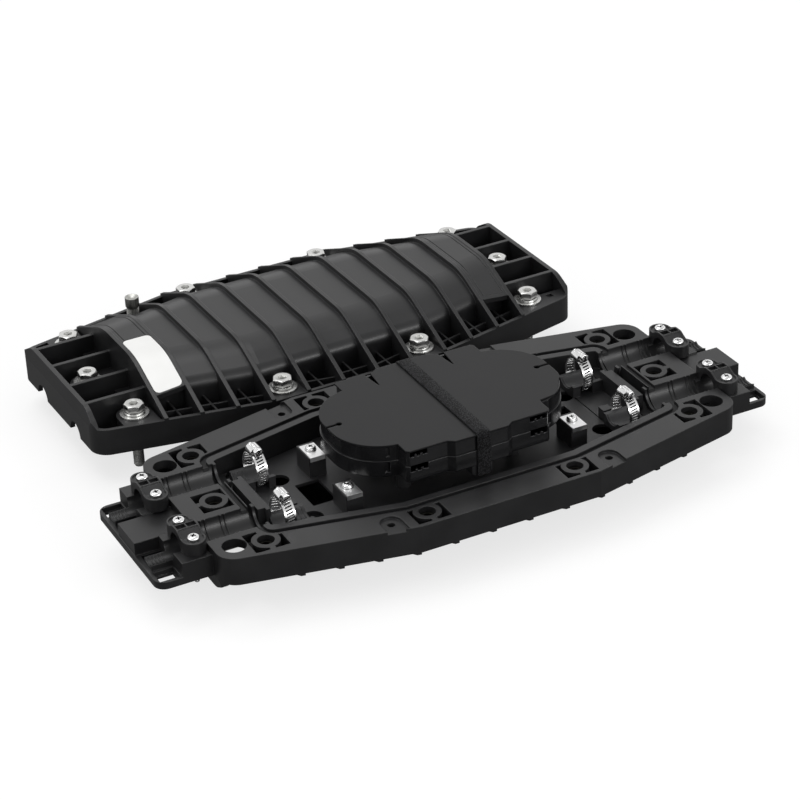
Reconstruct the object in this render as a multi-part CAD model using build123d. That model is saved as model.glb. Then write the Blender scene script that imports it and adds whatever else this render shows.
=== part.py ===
from build123d import *
import os
from math import cos, radians, sin, tan

# An inline cable splice closure, shown open. The base half carries a cable clamp tongue
# at each end, a carrier plate, two stacked splice trays and a strap. The cover half
# stands behind it on the tips of its captive bolts. Millimetres, X along the closure,
# Y towards the cover, Z up. The origin is the centre of the base's four corner holes,
# on its mating face.

# Shell halves, sizes that both share
SHELL_LENGTH = 392.0
SHELL_WIDTH = 197.0
STRAIGHT_LENGTH = 135.4
SIDE_TAPER = 12.2
CORNER_RADIUS = 14.0
RIM_HEIGHT = 20.0
RIM_WALL = 3.0
FLANGE_THICKNESS = 6.5
CREST_HEIGHT = 25.7
FLANK_ANGLE = 24.2
RIB_STEP = 1.5
RIB_THICKNESS = 3.0
RIB_STATIONS = (13.9, 41.9, 69.7, 95.0, 120.3, 145.6)
CREST_RADIUS = 50.0

# Dome between the ribs
DOME_INSET = 29.0
DOME_DROP = 3.6
DOME_WALL = 3.2
DOME_EAVE_RADIUS = 9.0
BASIN_CORNER = 12.0

# Mating side
GROOVE_INSET = 22.5
GROOVE_WIDTH = 4.3
GROOVE_DEPTH = 4.5
GROOVE_HALF_LENGTH = 160.0
GROOVE_CORNER = 11.0
LAND_WIDTH = 1.5
MOUTH_INSET = 32.5
LEDGE_WIDTH = 3.0
LEDGE_DEPTH = 19.5
BASIN_HALF_LENGTH = 155.0
BASIN_DEPTH = 14.0
SEAL_CLEARANCE = 0.1
SEAL_RECESS = 2.2
MOUTH_CORNER = 6.0
BASIN_MOUTH_CORNER = 10.0

# Closed ends
END_WALL_RISE = 11.0
END_WALL_THICKNESS = 3.5
END_WALL_FLAT = 52.0
END_WALL_FOOT = 71.0
END_WALL_LEAN = 1.6
END_WALL_SHOULDER = 16.0

# Webs behind the cover's rim, and the raised panels at its ends with the label on one
END_WEB_THICKNESS = 3.0
END_WEB_STATIONS = (17.0, 47.0)
CROSS_WEB_THICKNESS = 1.5
CROSS_WEB_TOP = 18.0
PANEL_HALF_WIDTH = 62.0
PANEL_DROP = 0.4
PANEL_THICKNESS = 4.0
PANEL_LINE = (2.4, 0.8, 0.5)
LABEL_X = (-143.7, -122.3)
LABEL_Y = (-61.0, -2.0)
LABEL_CORNER = 4.0
LABEL_THICKNESS = 0.2
SHELF_X = (161.4, 193.5)
SHELF_Y = -58.0
SHELF_THICKNESS = 3.0
SHELF_RECESS = (180.0, -63.0, 5.0, 2.0)

# Cable ways
CABLE_Y = 31.2
CHANNEL_RADIUS = 13.0
CHANNEL_SKIN = 3.5
PORT_RADIUS = 9.0
SEAL_RIDGE_STATIONS = (172.0, 175.0, 186.0, 189.0)
SEAL_RIDGE_WIDTH = 1.0
SEAL_RIDGE_HEIGHT = 0.9
COLLAR_STATION = 152.0
COLLAR_THICKNESS = 2.0
COLLAR_BORE = 11.0

# Bolts between the halves
BOLT_DIAMETER = 8.0
BOLT_LENGTH = 45.0
BOLT_HEAD_FLATS = 13.0
BOLT_HEAD_HEIGHT = 5.6
BOLT_HEAD_CHAMFER = 0.9
BOLT_SOCKET = 6.0
BOLT_SOCKET_DEPTH = 3.2
BOLT_CLEARANCE = 0.5
PLAIN_WASHER_DIAMETER = 21.0
PLAIN_WASHER_THICKNESS = 1.5
LOCK_WASHER_DIAMETER = 15.0
LOCK_WASHER_THICKNESS = 1.9
WASHER_BORE = 8.4
CORNER_BOSS = (161.4, 61.2)
END_BOSS = (171.25, 0.0)
SIDE_BOSS = (55.9, 83.6)
BOSS_RADIUS = 9.6
BOSS_HOLE = 11.6
SEAT_RADIUS = 13.0
POCKET_SIZE = 24.0
POCKET_FLOOR = 3.5
POCKET_WEB = 4.0
POCKET_MARGIN = 3.0
INSERT_LENGTH = 12.0
INSERT_RECESS = 4.0
INSERT_BORE = 6.8

# Corner through holes and recessed small holes in the base flange
CORNER_HOLE = (182.0, 57.3)
CORNER_HOLE_DIAMETER = 16.4
SMALL_HOLE = (82.5, 83.9)
SMALL_HOLE_DIAMETER = 5.3
SMALL_RECESS_DIAMETER = 15.0
SMALL_RECESS_DEPTH = 2.0

# Cable clamp tongues
TONGUE_END = 234.8
TONGUE_HALF_WIDTH = 53.6
TONGUE_BOTTOM = -20.0
TONGUE_FRAME_TOP = -14.7
TONGUE_CORNER = 8.0
TONGUE_CENTRE_HALF = 14.3
TONGUE_CENTRE_TOP = -5.4
TONGUE_CENTRE_SETBACK = 0.6
BLOCK_END = 217.3
BLOCK_TOP = -4.3
TROUGH_RADIUS = 8.5
CRADLE_HALF_WIDTH = 6.0
CRADLE_END = 232.0
WINDOW_SPAN = (219.0, 231.2)
OUTER_WINDOW = (39.8, 50.2)
WINDOW_RIM = (1.0, 2.0)
INNER_POCKET = (16.6, 24.0)
INNER_POCKET_FLOOR = -18.0

# Saddle caps and their screws
SADDLE_X = 204.0
SADDLE_LENGTH = 40.0
SADDLE_WIDTH = 16.0
SADDLE_PAD_TOP = 5.1
SADDLE_CROWN_TOP = 8.5
SADDLE_CROWN_HALF = 3.4
SADDLE_CROWN_FOOT = 10.0
SADDLE_CROWN_RADIUS = 4.0
SADDLE_SCREW_PITCH = 24.0
SADDLE_BORDER = 1.2
SADDLE_RECESS = 0.9
SADDLE_RIB = 0.9
SADDLE_POCKET_HALF = 2.5
SADDLE_POCKET_DEPTH = 2.4
SADDLE_SCREW_DIAMETER = 4.0
SADDLE_SCREW_HEAD = (3.9, 2.9)
SADDLE_HEAD_CLEARANCE = 0.4
SADDLE_SCREW_LENGTH = 32.0
SCREW_CLEARANCE = 0.1

# Carrier plate inside the base
CARRIER_CLEARANCE = 0.6
CARRIER_END = 143.4
CARRIER_TOP = -17.0
CARRIER_HOLE = (112.2, 27.0)
CARRIER_HOLE_DIAMETER = 14.5
CARRIER_WINDOW_X = (88.0, 106.0)
CARRIER_WINDOW_HALF = 15.0
SIDE_WINDOW_X = (20.0, 62.0)
SIDE_WINDOW_Y = (44.0, 56.0)
BAR_SPAN = (141.0, 149.0)
BAR_HALF = 21.0
BAR_TOP = -3.0
BAR_STRIP = (3.0, 24.0)
FLOOR_LINE = (118.0, 1.0, 1.0, 44.0)
FLOOR_BLOCK = ((118.8, 126.4), (-17.6, -10.6), -9.0)
CARRIER_CORNER = 5.5

# Worm drive hose clamps and the cradles that they close on
CLAMP_STATIONS = (128.0, 128.0, 127.0, 135.5)
CLAMP_AXIS_Z = -4.0
CLAMP_RADIUS = 13.0
CLAMP_BAND = 0.8
CLAMP_WIDTH = 8.0
CLAMP_HOUSING = (9.0, 9.0, 4.6)
CLAMP_HOUSING_SINK = 0.6
CLAMP_HOUSING_RADIUS = 2.0
CLAMP_SCREW_RADIUS = 1.8
CLAMP_SCREW_RISE = 0.2
CLAMP_SCREW_LENGTH = 11.0
CLAMP_SCREW_OFFSET = 0.7
CLAMP_HEX = 5.5
CLAMP_HEX_LENGTH = 3.4
CRADLE_GAP = 0.4
CRADLE_WALL = 2.8
CRADLE_SPAN = (117.0, 142.0)
CRADLE_TOP = -8.5
CRADLE_LEG_HALF = 10.5
CRADLE_RIDGE = (3.3, 1.1, 0.5)
CRADLE_LEG_GAP = 1.0

# Strength member clamps
MEMBER_BLOCK = (86.5, 28.3)
MEMBER_BLOCK_SIZE = (12.5, 20.5)
MEMBER_BLOCK_TOP = -1.8
MEMBER_PLATE_THICKNESS = 0.9
MEMBER_LIP = 3.4
MEMBER_PLATE_MARGIN = (0.6, 3.0)
MEMBER_SCREW_DIAMETER = 3.5
MEMBER_SCREW_HEAD = (3.2, 2.9)
MEMBER_SCREW_LENGTH = 8.0

# Splice trays, their support and strap
TRAY_BOTTOM = 5.5
TRAY_HEIGHT = 11.5
LID_TOP = 29.0
LID_THICKNESS = 1.2
TRAY_WALL = 1.6
TRAY_FLOOR = 1.2
TRAY_HALF_LENGTH = 85.5
TRAY_HALF_WIDTH = 42.0
TRAY_END_RADIUS = 36.0
TRAY_BODY_HALF = 54.5
TRAY_BODY_WIDTH = 54.5
TRAY_BODY_CHAMFER = 2.0
TRAY_WAIST_HALF = 20.0
TRAY_WAIST_WIDTH = 58.0
TRAY_WAIST_RAMP = 4.5
UPPER_TRAY_INSET = 0.8
TRAY_WINDOW = (39.0, 52.0, 4.2)
TRAY_TOOTH = (1.6, 1.4)
TRAY_SNAP_SLOT = (60.0, 63.5)
TRAY_SNAP_MARGIN = (3.0, 1.0)
TRAY_HUB_GAP = 6.0
TRAY_HUB_DROP = 3.0
TRAY_HUB = (40.0, 17.0)
HOLDER_SIZE = (30.0, 44.0)
HOLDER_RIBS = 7
HOLDER_RIB = (1.5, 6.5)
SUPPORT_PLATE = (124.0, 68.0, 3.0)
SUPPORT_CORNER = 12.0
SUPPORT_POST = (42.0, 22.0, 5.0)
STRAP_BAR = (15.0, 114.0)
STRAP_BAR_BOTTOM = -2.0
STRAP_WIDTH = 10.0
STRAP_THICKNESS = 1.0
STRAP_X = 0.8
STRAP_GAP = 0.3
STRAP_BEND = 2.0
LID_SLIT_X = 29.0
LID_SLIT_END = 36.0
LID_SLIT_WIDTHS = (6.0, 0.8)
LID_NOTCH = (4.0, 2.0, 10.0, 2.4)
LID_NOTCH_BULB = 2.2
LID_CUT = ((55.0, -43.0), (55.0, -39.0), (70.0, -37.0), (82.0, -19.0), (86.5, -19.0), (86.5, -43.0))

# Valve on the cover
VALVE = (-104.5, 72.0)
VALVE_HOLE = 8.0
VALVE_BODY_RADIUS = 4.7
VALVE_BODY_TOP = 11.5
VALVE_CAP_RADIUS = 5.25
VALVE_CAP_HEIGHT = 7.5
VALVE_NUT = (13.0, 3.5)
VALVE_SEAT_RISE = 4.0
VALVE_SEAT_MARGIN = 2.5

# Where the cover stands, from the base's centre
COVER_PLACE = (-10.1, 205.9)
COVER_TURN = 1.18

TAPER = radians(SIDE_TAPER)
RISE = tan(radians(FLANK_ANGLE))
HALF_WIDTH = SHELL_WIDTH / 2
HALF_LENGTH = SHELL_LENGTH / 2
TAPER_REACH = HALF_WIDTH * cos(TAPER) + STRAIGHT_LENGTH / 2 * sin(TAPER)
SHELL_DEPTH = RIM_HEIGHT + CREST_HEIGHT
FLOOR_Z = -SHELL_DEPTH
WASHER_STACK = PLAIN_WASHER_THICKNESS + LOCK_WASHER_THICKNESS
WEB_FOOT = (GROOVE_DEPTH + FLANGE_THICKNESS) / 2
SEAT_Z = FLOOR_Z + BOLT_LENGTH - WASHER_STACK
VALVE_SEAT = FLANGE_THICKNESS + VALVE_SEAT_RISE
QUARTERS = ((1, 1), (1, -1), (-1, 1), (-1, -1))
ENDS = (1, -1)


def save(name, shape):
    """Write one sub-part, as one solid or as a group of separate solids."""
    solids = shape.solids()
    whole = solids[0] if len(solids) == 1 else Compound(children=list(solids))
    export_step(whole, os.path.join("parts", name + ".step"))


def block(x_span, y_span, z_span):
    """Box from its limits along each axis."""
    size = [high - low for low, high in (x_span, y_span, z_span)]
    centre = [(high + low) / 2 for low, high in (x_span, y_span, z_span)]
    return Pos(*centre) * Box(*size)


def post(radius, x, y, z_span):
    """Upright cylinder between two heights."""
    low, high = z_span
    return Pos(x, y, (low + high) / 2) * Cylinder(radius, high - low)


def rod_x(radius, x_span, y, z):
    """Cylinder along X."""
    low, high = x_span
    return Pos((low + high) / 2, y, z) * Rot(0, 90, 0) * Cylinder(radius, high - low)


def prism(face, z_span):
    """Plan shape raised between two heights."""
    low, high = z_span
    return Pos(0, 0, low) * extrude(face, high - low)


def side_y(x, inset=0.0):
    """Half width of the outline at a station, less an inset from its sides."""
    tapered = (TAPER_REACH - inset - abs(x) * sin(TAPER)) / cos(TAPER)
    return min(HALF_WIDTH - inset, tapered)


def plan_outline(inset, half_length, corner_radius):
    """Eight-sided outline, set in from the shell's sides, with rounded end corners."""
    side = HALF_WIDTH - inset
    knee = (TAPER_REACH - inset - side * cos(TAPER)) / sin(TAPER)
    corner = side_y(half_length, inset)
    quarter = [(half_length, corner), (knee, side)]
    points = quarter + [(-x, y) for x, y in reversed(quarter)]
    points += [(x, -y) for x, y in reversed(points)]
    face = make_face(Polyline(*points, close=True))
    corners = [v for v in face.vertices() if abs(abs(v.X) - half_length) < 0.01]
    return fillet(corners, corner_radius)


def roofed(inset, drop, eave_radius, ridge_radius):
    """Solid whose walls and sloped flanks keep an inset from all the shell's sides."""
    top = SHELL_DEPTH - drop
    solid = None
    for turn, reach in ((0, HALF_WIDTH), (SIDE_TAPER, TAPER_REACH), (-SIDE_TAPER, TAPER_REACH)):
        wall = reach - inset
        eave = RIM_HEIGHT + RIB_STEP + inset * RISE - drop
        ridge = reach - (CREST_HEIGHT - RIB_STEP) / RISE
        half = [(wall, 0), (wall, eave), (ridge, top)]
        points = half + [(-y, z) for y, z in reversed(half)]
        section = make_face(Polyline(*points, close=True))
        ridges = [v for v in section.vertices() if abs(v.Y - top) < 0.01]
        section = fillet(ridges, ridge_radius)
        if eave_radius:
            eaves = [v for v in section.vertices() if abs(abs(v.X) - wall) < 0.01 and v.Y > 1]
            section = fillet(eaves, eave_radius)
        bar = Rot(0, 0, turn) * extrude(Plane.YZ * section, HALF_LENGTH, both=True)
        solid = bar if solid is None else solid & bar
    return solid


def bosses():
    """Centres of the ten bolts, with the direction of each boss's two webs."""
    places = [(CORNER_BOSS[0] * a, CORNER_BOSS[1] * b, "y") for a, b in QUARTERS]
    places += [(SIDE_BOSS[0] * a, SIDE_BOSS[1] * b, "y") for a, b in QUARTERS]
    places += [(END_BOSS[0] * a, END_BOSS[1], "x") for a in ENDS]
    return places


# Shell half, mating face on z = 0 and the outside upwards

def end_walls():
    """Leaning walls that close the ends above the rim."""
    top = RIM_HEIGHT + END_WALL_RISE
    lean = HALF_LENGTH - END_WALL_LEAN
    side = [(HALF_LENGTH, 0), (HALF_LENGTH, RIM_HEIGHT), (lean, top),
            (lean - END_WALL_THICKNESS, top), (HALF_LENGTH - END_WALL_THICKNESS, 0)]
    face = Plane.XZ * make_face(Polyline(*side, close=True))
    wall = extrude(face, END_WALL_FOOT, both=True)
    crown = [(-END_WALL_FOOT, 0), (-END_WALL_FOOT, RIM_HEIGHT), (-END_WALL_FLAT, top),
             (END_WALL_FLAT, top), (END_WALL_FOOT, RIM_HEIGHT), (END_WALL_FOOT, 0)]
    front = make_face(Polyline(*crown, close=True))
    front = fillet([v for v in front.vertices() if v.Y > RIM_HEIGHT - 1], END_WALL_SHOULDER)
    wall &= extrude(Plane.YZ * front, HALF_LENGTH + 1)
    wall &= prism(plan_outline(0, HALF_LENGTH, CORNER_RADIUS), (0, top))
    return wall + mirror(wall, Plane.YZ)


def end_webs():
    """Upright webs that prop the cover's end walls."""
    top = RIM_HEIGHT + END_WALL_RISE
    basin_end = BASIN_HALF_LENGTH + CHANNEL_SKIN
    webs = []
    for a in ENDS:
        for y in END_WEB_STATIONS + tuple(-y for y in END_WEB_STATIONS):
            y_span = (y - END_WEB_THICKNESS / 2, y + END_WEB_THICKNESS / 2)
            over_basin = sorted((a * RIB_STATIONS[-1], a * basin_end))
            beyond = sorted((a * (basin_end - 1), a * (HALF_LENGTH - END_WALL_LEAN - 1)))
            webs.append(block(over_basin, y_span, (BASIN_DEPTH + POCKET_FLOOR / 2, top)))
            webs.append(block(beyond, y_span, (WEB_FOOT, top)))
    return webs


def cross_webs():
    """Thin crossed webs between rim and dome, where there is no bolt and no valve."""
    bays = [(-RIB_STATIONS[0], RIB_STATIONS[0])]
    for low, high in zip(RIB_STATIONS, RIB_STATIONS[1:]):
        if not low < SIDE_BOSS[0] < high:
            bays += [(low, high), (-high, -low)]
    z_span = (WEB_FOOT, CROSS_WEB_TOP)
    webs = []
    for low, high in bays:
        x = (low + high) / 2
        for side in ENDS:
            if low < VALVE[0] < high and side * VALVE[1] > 0:
                continue
            outer = side * side_y(x, RIM_WALL / 2)
            inner = side * side_y(x, DOME_INSET + 1)
            x_span = (x - CROSS_WEB_THICKNESS / 2, x + CROSS_WEB_THICKNESS / 2)
            webs.append(block(x_span, sorted((outer, inner)), z_span))
            slope = 0 if low < 0 < high else SIDE_TAPER * (-side if x > 0 else side)
            bar = Box(high - low, CROSS_WEB_THICKNESS, z_span[1] - z_span[0])
            webs.append(Pos(x, (outer + inner) / 2, sum(z_span) / 2) * Rot(0, 0, slope) * bar)
    return webs


def end_panels():
    """Raised panels over the last bays of the cover's dome, each with a thin line."""
    inset, width, depth = PANEL_LINE
    surface = roofed(0, PANEL_DROP, 0, CREST_RADIUS)
    under = roofed(0, PANEL_DROP + PANEL_THICKNESS, 0, CREST_RADIUS)
    floor = roofed(0, PANEL_DROP + depth, 0, CREST_RADIUS)
    low, high = RIB_STATIONS[-2] + RIB_THICKNESS / 2, RIB_STATIONS[-1] - RIB_THICKNESS / 2
    half = PANEL_HALF_WIDTH
    zone = None
    line = None
    for a in ENDS:
        x = a * (low + high) / 2
        bay = block(sorted((a * RIB_STATIONS[-2], a * RIB_STATIONS[-1])), (-half, half), (0, SHELL_DEPTH))
        loop = Box(high - low - 2 * inset, 2 * (half - inset), 2 * SHELL_DEPTH)
        loop -= Box(high - low - 2 * (inset + width), 2 * (half - inset - width), 2 * SHELL_DEPTH)
        zone = bay if zone is None else zone + bay
        line = Pos(x, 0, 0) * loop if line is None else line + Pos(x, 0, 0) * loop
    return (surface & zone) - under, line - floor


def bolt_seats():
    """Solid seats that carry the bolts at the level of the rim's edge."""
    solid = None
    for x, y, _ in bosses():
        seat = post(SEAT_RADIUS, x, y, (0, RIM_HEIGHT))
        if y:
            outward = side_y(x) * (1 if y > 0 else -1)
            y_span = (min(y, outward), max(y, outward))
            seat += block((x - SEAT_RADIUS, x + SEAT_RADIUS), y_span, (0, RIM_HEIGHT))
        solid = seat if solid is None else solid + seat
    return solid


def boss_pockets():
    """Cored-out squares round the bosses, less each boss and its two webs."""
    solid = None
    depth = RIM_HEIGHT - POCKET_FLOOR
    half = POCKET_SIZE / 2
    for x, y, webs in bosses():
        pocket = block((x - half, x + half), (y - half, y + half), (0, depth))
        pocket -= post(BOSS_RADIUS, x, y, (0, depth))
        reach = (POCKET_WEB, POCKET_SIZE) if webs == "y" else (POCKET_SIZE, POCKET_WEB)
        pocket -= Pos(x, y, depth / 2) * Box(reach[0], reach[1], depth)
        solid = pocket if solid is None else solid + pocket
    groove_land = GROOVE_INSET - LAND_WIDTH
    land = plan_outline(groove_land, GROOVE_HALF_LENGTH + LAND_WIDTH, GROOVE_CORNER + LAND_WIDTH)
    inside = plan_outline(POCKET_MARGIN, HALF_LENGTH - RIM_WALL, CORNER_RADIUS - RIM_WALL)
    return solid & prism(inside, (0, depth)) - prism(land, (0, depth))


def groove(inset_gap, z_span):
    """Ring that follows the seal groove, narrowed by a gap on each side."""
    outer = plan_outline(GROOVE_INSET + inset_gap, GROOVE_HALF_LENGTH - inset_gap, GROOVE_CORNER)
    inner_inset = GROOVE_INSET + GROOVE_WIDTH - inset_gap
    inner_length = GROOVE_HALF_LENGTH - GROOVE_WIDTH + inset_gap
    inner = plan_outline(inner_inset, inner_length, GROOVE_CORNER - GROOVE_WIDTH)
    return prism(outer, z_span) - prism(inner, z_span)


def cavity():
    """Hollow of the half: mouth, ledge, dome and the shallow basins at its ends."""
    dome_end = RIB_STATIONS[-1] + RIB_THICKNESS / 2 - DOME_WALL
    hollow = roofed(MOUTH_INSET + LEDGE_WIDTH, DOME_DROP + DOME_WALL, DOME_EAVE_RADIUS - DOME_WALL,
                    CREST_RADIUS - DOME_WALL)
    hollow &= block((-dome_end, dome_end), (-HALF_WIDTH, HALF_WIDTH), (LEDGE_DEPTH, SHELL_DEPTH))
    hollow += prism(plan_outline(MOUTH_INSET, dome_end, MOUTH_CORNER), (0, LEDGE_DEPTH))
    hollow += prism(plan_outline(MOUTH_INSET, BASIN_HALF_LENGTH, BASIN_MOUTH_CORNER), (0, BASIN_DEPTH))
    return hollow


def ribbed_shell(port_radius):
    """One ribbed half with its flange, dome, ribs, ends, bosses and cable ways."""
    outline = plan_outline(0, HALF_LENGTH, CORNER_RADIUS)
    inside = plan_outline(RIM_WALL, HALF_LENGTH - RIM_WALL, CORNER_RADIUS - RIM_WALL)
    shell = prism(outline, (0, RIM_HEIGHT)) - prism(inside, (FLANGE_THICKNESS, RIM_HEIGHT))
    dome_half = RIB_STATIONS[-1] + RIB_THICKNESS / 2
    dome_box = block((-dome_half, dome_half), (-HALF_WIDTH, HALF_WIDTH), (0, SHELL_DEPTH))
    shell += roofed(DOME_INSET, DOME_DROP, DOME_EAVE_RADIUS, CREST_RADIUS) & dome_box
    slabs = [block((a * x - RIB_THICKNESS / 2, a * x + RIB_THICKNESS / 2), (-HALF_WIDTH, HALF_WIDTH),
                   (FLANGE_THICKNESS / 2, SHELL_DEPTH)) for x in RIB_STATIONS for a in ENDS]
    shell += roofed(0, 0, 0, CREST_RADIUS) & Compound(children=slabs)
    shell += end_walls()
    shell += bolt_seats() & prism(outline, (0, RIM_HEIGHT))
    basin_skin = BASIN_DEPTH + POCKET_FLOOR
    basin = plan_outline(DOME_INSET, BASIN_HALF_LENGTH + CHANNEL_SKIN, BASIN_CORNER)
    shell += prism(basin, (0, basin_skin))
    for y in (CABLE_Y, -CABLE_Y):
        for a in ENDS:
            span = sorted((a * dome_half, a * (HALF_LENGTH - 1)))
            pipe = rod_x(CHANNEL_RADIUS + CHANNEL_SKIN, span, y, 0)
            shell += pipe & block((-HALF_LENGTH, HALF_LENGTH), (-HALF_WIDTH, HALF_WIDTH), (0, RIM_HEIGHT))
    shell -= cavity()
    shell -= groove(0, (0, GROOVE_DEPTH))
    shell -= boss_pockets()
    for y in (CABLE_Y, -CABLE_Y):
        for a in ENDS:
            way = sorted((a * (BASIN_HALF_LENGTH - 2), a * (HALF_LENGTH - END_WALL_THICKNESS)))
            port = sorted((a * (HALF_LENGTH - END_WALL_THICKNESS - 1), a * (HALF_LENGTH + 1)))
            shell -= rod_x(CHANNEL_RADIUS, way, y, 0)
            shell -= rod_x(port_radius, port, y, 0)
    return shell


# Base half

def tongue():
    """Cable clamp tongue at the +X end, with its blocks, cradles and windows."""
    root = HALF_LENGTH - END_WALL_THICKNESS
    frame_x = (root, TONGUE_END)
    plate = block(frame_x, (-TONGUE_HALF_WIDTH, TONGUE_HALF_WIDTH), (TONGUE_BOTTOM, TONGUE_FRAME_TOP))
    outer_edges = plate.edges().filter_by(Axis.Z).sort_by(Axis.X)[-2:]
    body = fillet(outer_edges, TONGUE_CORNER)
    centre_y = (-TONGUE_CENTRE_HALF, TONGUE_CENTRE_HALF)
    body += block((root, TONGUE_END - TONGUE_CENTRE_SETBACK), centre_y, (TONGUE_BOTTOM, TONGUE_CENTRE_TOP))
    cradle_top = BLOCK_TOP - (TROUGH_RADIUS ** 2 - CRADLE_HALF_WIDTH ** 2) ** 0.5
    for a in ENDS:
        y_span = sorted((a * TONGUE_CENTRE_HALF, a * TONGUE_HALF_WIDTH))
        body += block((root, BLOCK_END), y_span, (TONGUE_BOTTOM, BLOCK_TOP))
        cradle_y = (a * CABLE_Y - CRADLE_HALF_WIDTH, a * CABLE_Y + CRADLE_HALF_WIDTH)
        body += block((BLOCK_END, CRADLE_END), cradle_y, (TONGUE_FRAME_TOP, cradle_top))
    for a in ENDS:
        window_y = sorted((a * OUTER_WINDOW[0], a * OUTER_WINDOW[1]))
        body -= block(WINDOW_SPAN, window_y, (TONGUE_BOTTOM, TONGUE_FRAME_TOP))
        margin, floor = WINDOW_RIM
        rim_x = (WINDOW_SPAN[0] - margin, WINDOW_SPAN[1] + margin)
        rim_y = (window_y[0] - margin, window_y[1] + margin)
        body -= block(rim_x, rim_y, (TONGUE_BOTTOM + floor, TONGUE_FRAME_TOP))
        pocket_y = sorted((a * INNER_POCKET[0], a * INNER_POCKET[1]))
        body -= block((BLOCK_END, WINDOW_SPAN[1]), pocket_y, (INNER_POCKET_FLOOR, TONGUE_FRAME_TOP))
        body -= rod_x(TROUGH_RADIUS, (root - 1, TONGUE_END + 1), a * CABLE_Y, BLOCK_TOP)
        for b in ENDS:
            screw_y = a * CABLE_Y + b * SADDLE_SCREW_PITCH / 2
            hole = SADDLE_SCREW_DIAMETER / 2 + SCREW_CLEARANCE
            body -= post(hole, SADDLE_X, screw_y, (TONGUE_BOTTOM, BLOCK_TOP))
    return body


def seal_ridges():
    """Thin half rings in a base cable way, and the collar where it meets the basin."""
    rings = None
    below = block((0, HALF_LENGTH), (-HALF_WIDTH, HALF_WIDTH), (-RIM_HEIGHT, 0))
    for x in SEAL_RIDGE_STATIONS:
        span = (x - SEAL_RIDGE_WIDTH / 2, x + SEAL_RIDGE_WIDTH / 2)
        for y in (CABLE_Y, -CABLE_Y):
            ring = rod_x(CHANNEL_RADIUS + 1, span, y, 0) - rod_x(CHANNEL_RADIUS - SEAL_RIDGE_HEIGHT, span, y, 0)
            rings = ring if rings is None else rings + ring
    span = (COLLAR_STATION - COLLAR_THICKNESS / 2, COLLAR_STATION + COLLAR_THICKNESS / 2)
    for y in (CABLE_Y, -CABLE_Y):
        rings += rod_x(BASIN_DEPTH + 1, span, y, 0) - rod_x(COLLAR_BORE, span, y, 0)
    rings &= below
    return rings


def base_shell():
    shell = Rot(180, 0, 0) * ribbed_shell(CHANNEL_RADIUS)
    for a, b in QUARTERS:
        x, y = CORNER_HOLE[0] * a, CORNER_HOLE[1] * b
        shell -= post(CORNER_HOLE_DIAMETER / 2, x, y, (-RIM_HEIGHT, 0))
        x, y = SMALL_HOLE[0] * a, SMALL_HOLE[1] * b
        edge = side_y(x) * b + b
        recess = post(SMALL_RECESS_DIAMETER / 2, x, y, (-SMALL_RECESS_DEPTH, 0))
        half = SMALL_RECESS_DIAMETER / 2
        recess += block((x - half, x + half), sorted((y, edge)), (-SMALL_RECESS_DEPTH, 0))
        shell -= recess
        shell -= post(SMALL_HOLE_DIAMETER / 2, x, y, (-FLANGE_THICKNESS, 0))
    for x, y, _ in bosses():
        depth = INSERT_RECESS + INSERT_LENGTH
        shell -= post(BOSS_HOLE / 2, x, y, (-depth, 0))
    end = tongue()
    ridges = seal_ridges()
    shell += end + mirror(end, Plane.YZ)
    shell += ridges + mirror(ridges, Plane.YZ)
    return shell


def threaded_inserts():
    """Metal thread inserts at the bottom of the base's ten boss holes."""
    z_span = (-INSERT_RECESS - INSERT_LENGTH, -INSERT_RECESS)
    rings = [post(BOSS_HOLE / 2, x, y, z_span) - post(INSERT_BORE / 2, x, y, z_span) for x, y, _ in bosses()]
    return Compound(children=rings)


def perimeter_seal():
    """Rubber strips that lie in the groove between the cable ways."""
    strip = groove(SEAL_CLEARANCE, (-GROOVE_DEPTH, -SEAL_RECESS))
    for y in (CABLE_Y, -CABLE_Y):
        for a in ENDS:
            strip -= rod_x(CHANNEL_RADIUS, sorted((a * RIB_STATIONS[-1], a * HALF_LENGTH)), y, 0)
    return strip


# Cable clamps on the tongues

def cap_profile(drop):
    """Side view of a cap, two pads and a crown between them, lowered by a drop."""
    half = SADDLE_LENGTH / 2
    pad = SADDLE_PAD_TOP - drop
    crown = SADDLE_CROWN_TOP - drop
    points = [(-half, BLOCK_TOP), (-half, pad), (-SADDLE_CROWN_FOOT, pad), (-SADDLE_CROWN_HALF, crown),
              (SADDLE_CROWN_HALF, crown), (SADDLE_CROWN_FOOT, pad), (half, pad), (half, BLOCK_TOP)]
    profile = make_face(Polyline(*points, close=True))
    bends = [v for v in profile.vertices() if abs(v.X) < half - 1]
    return fillet(bends, SADDLE_CROWN_RADIUS)


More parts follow.
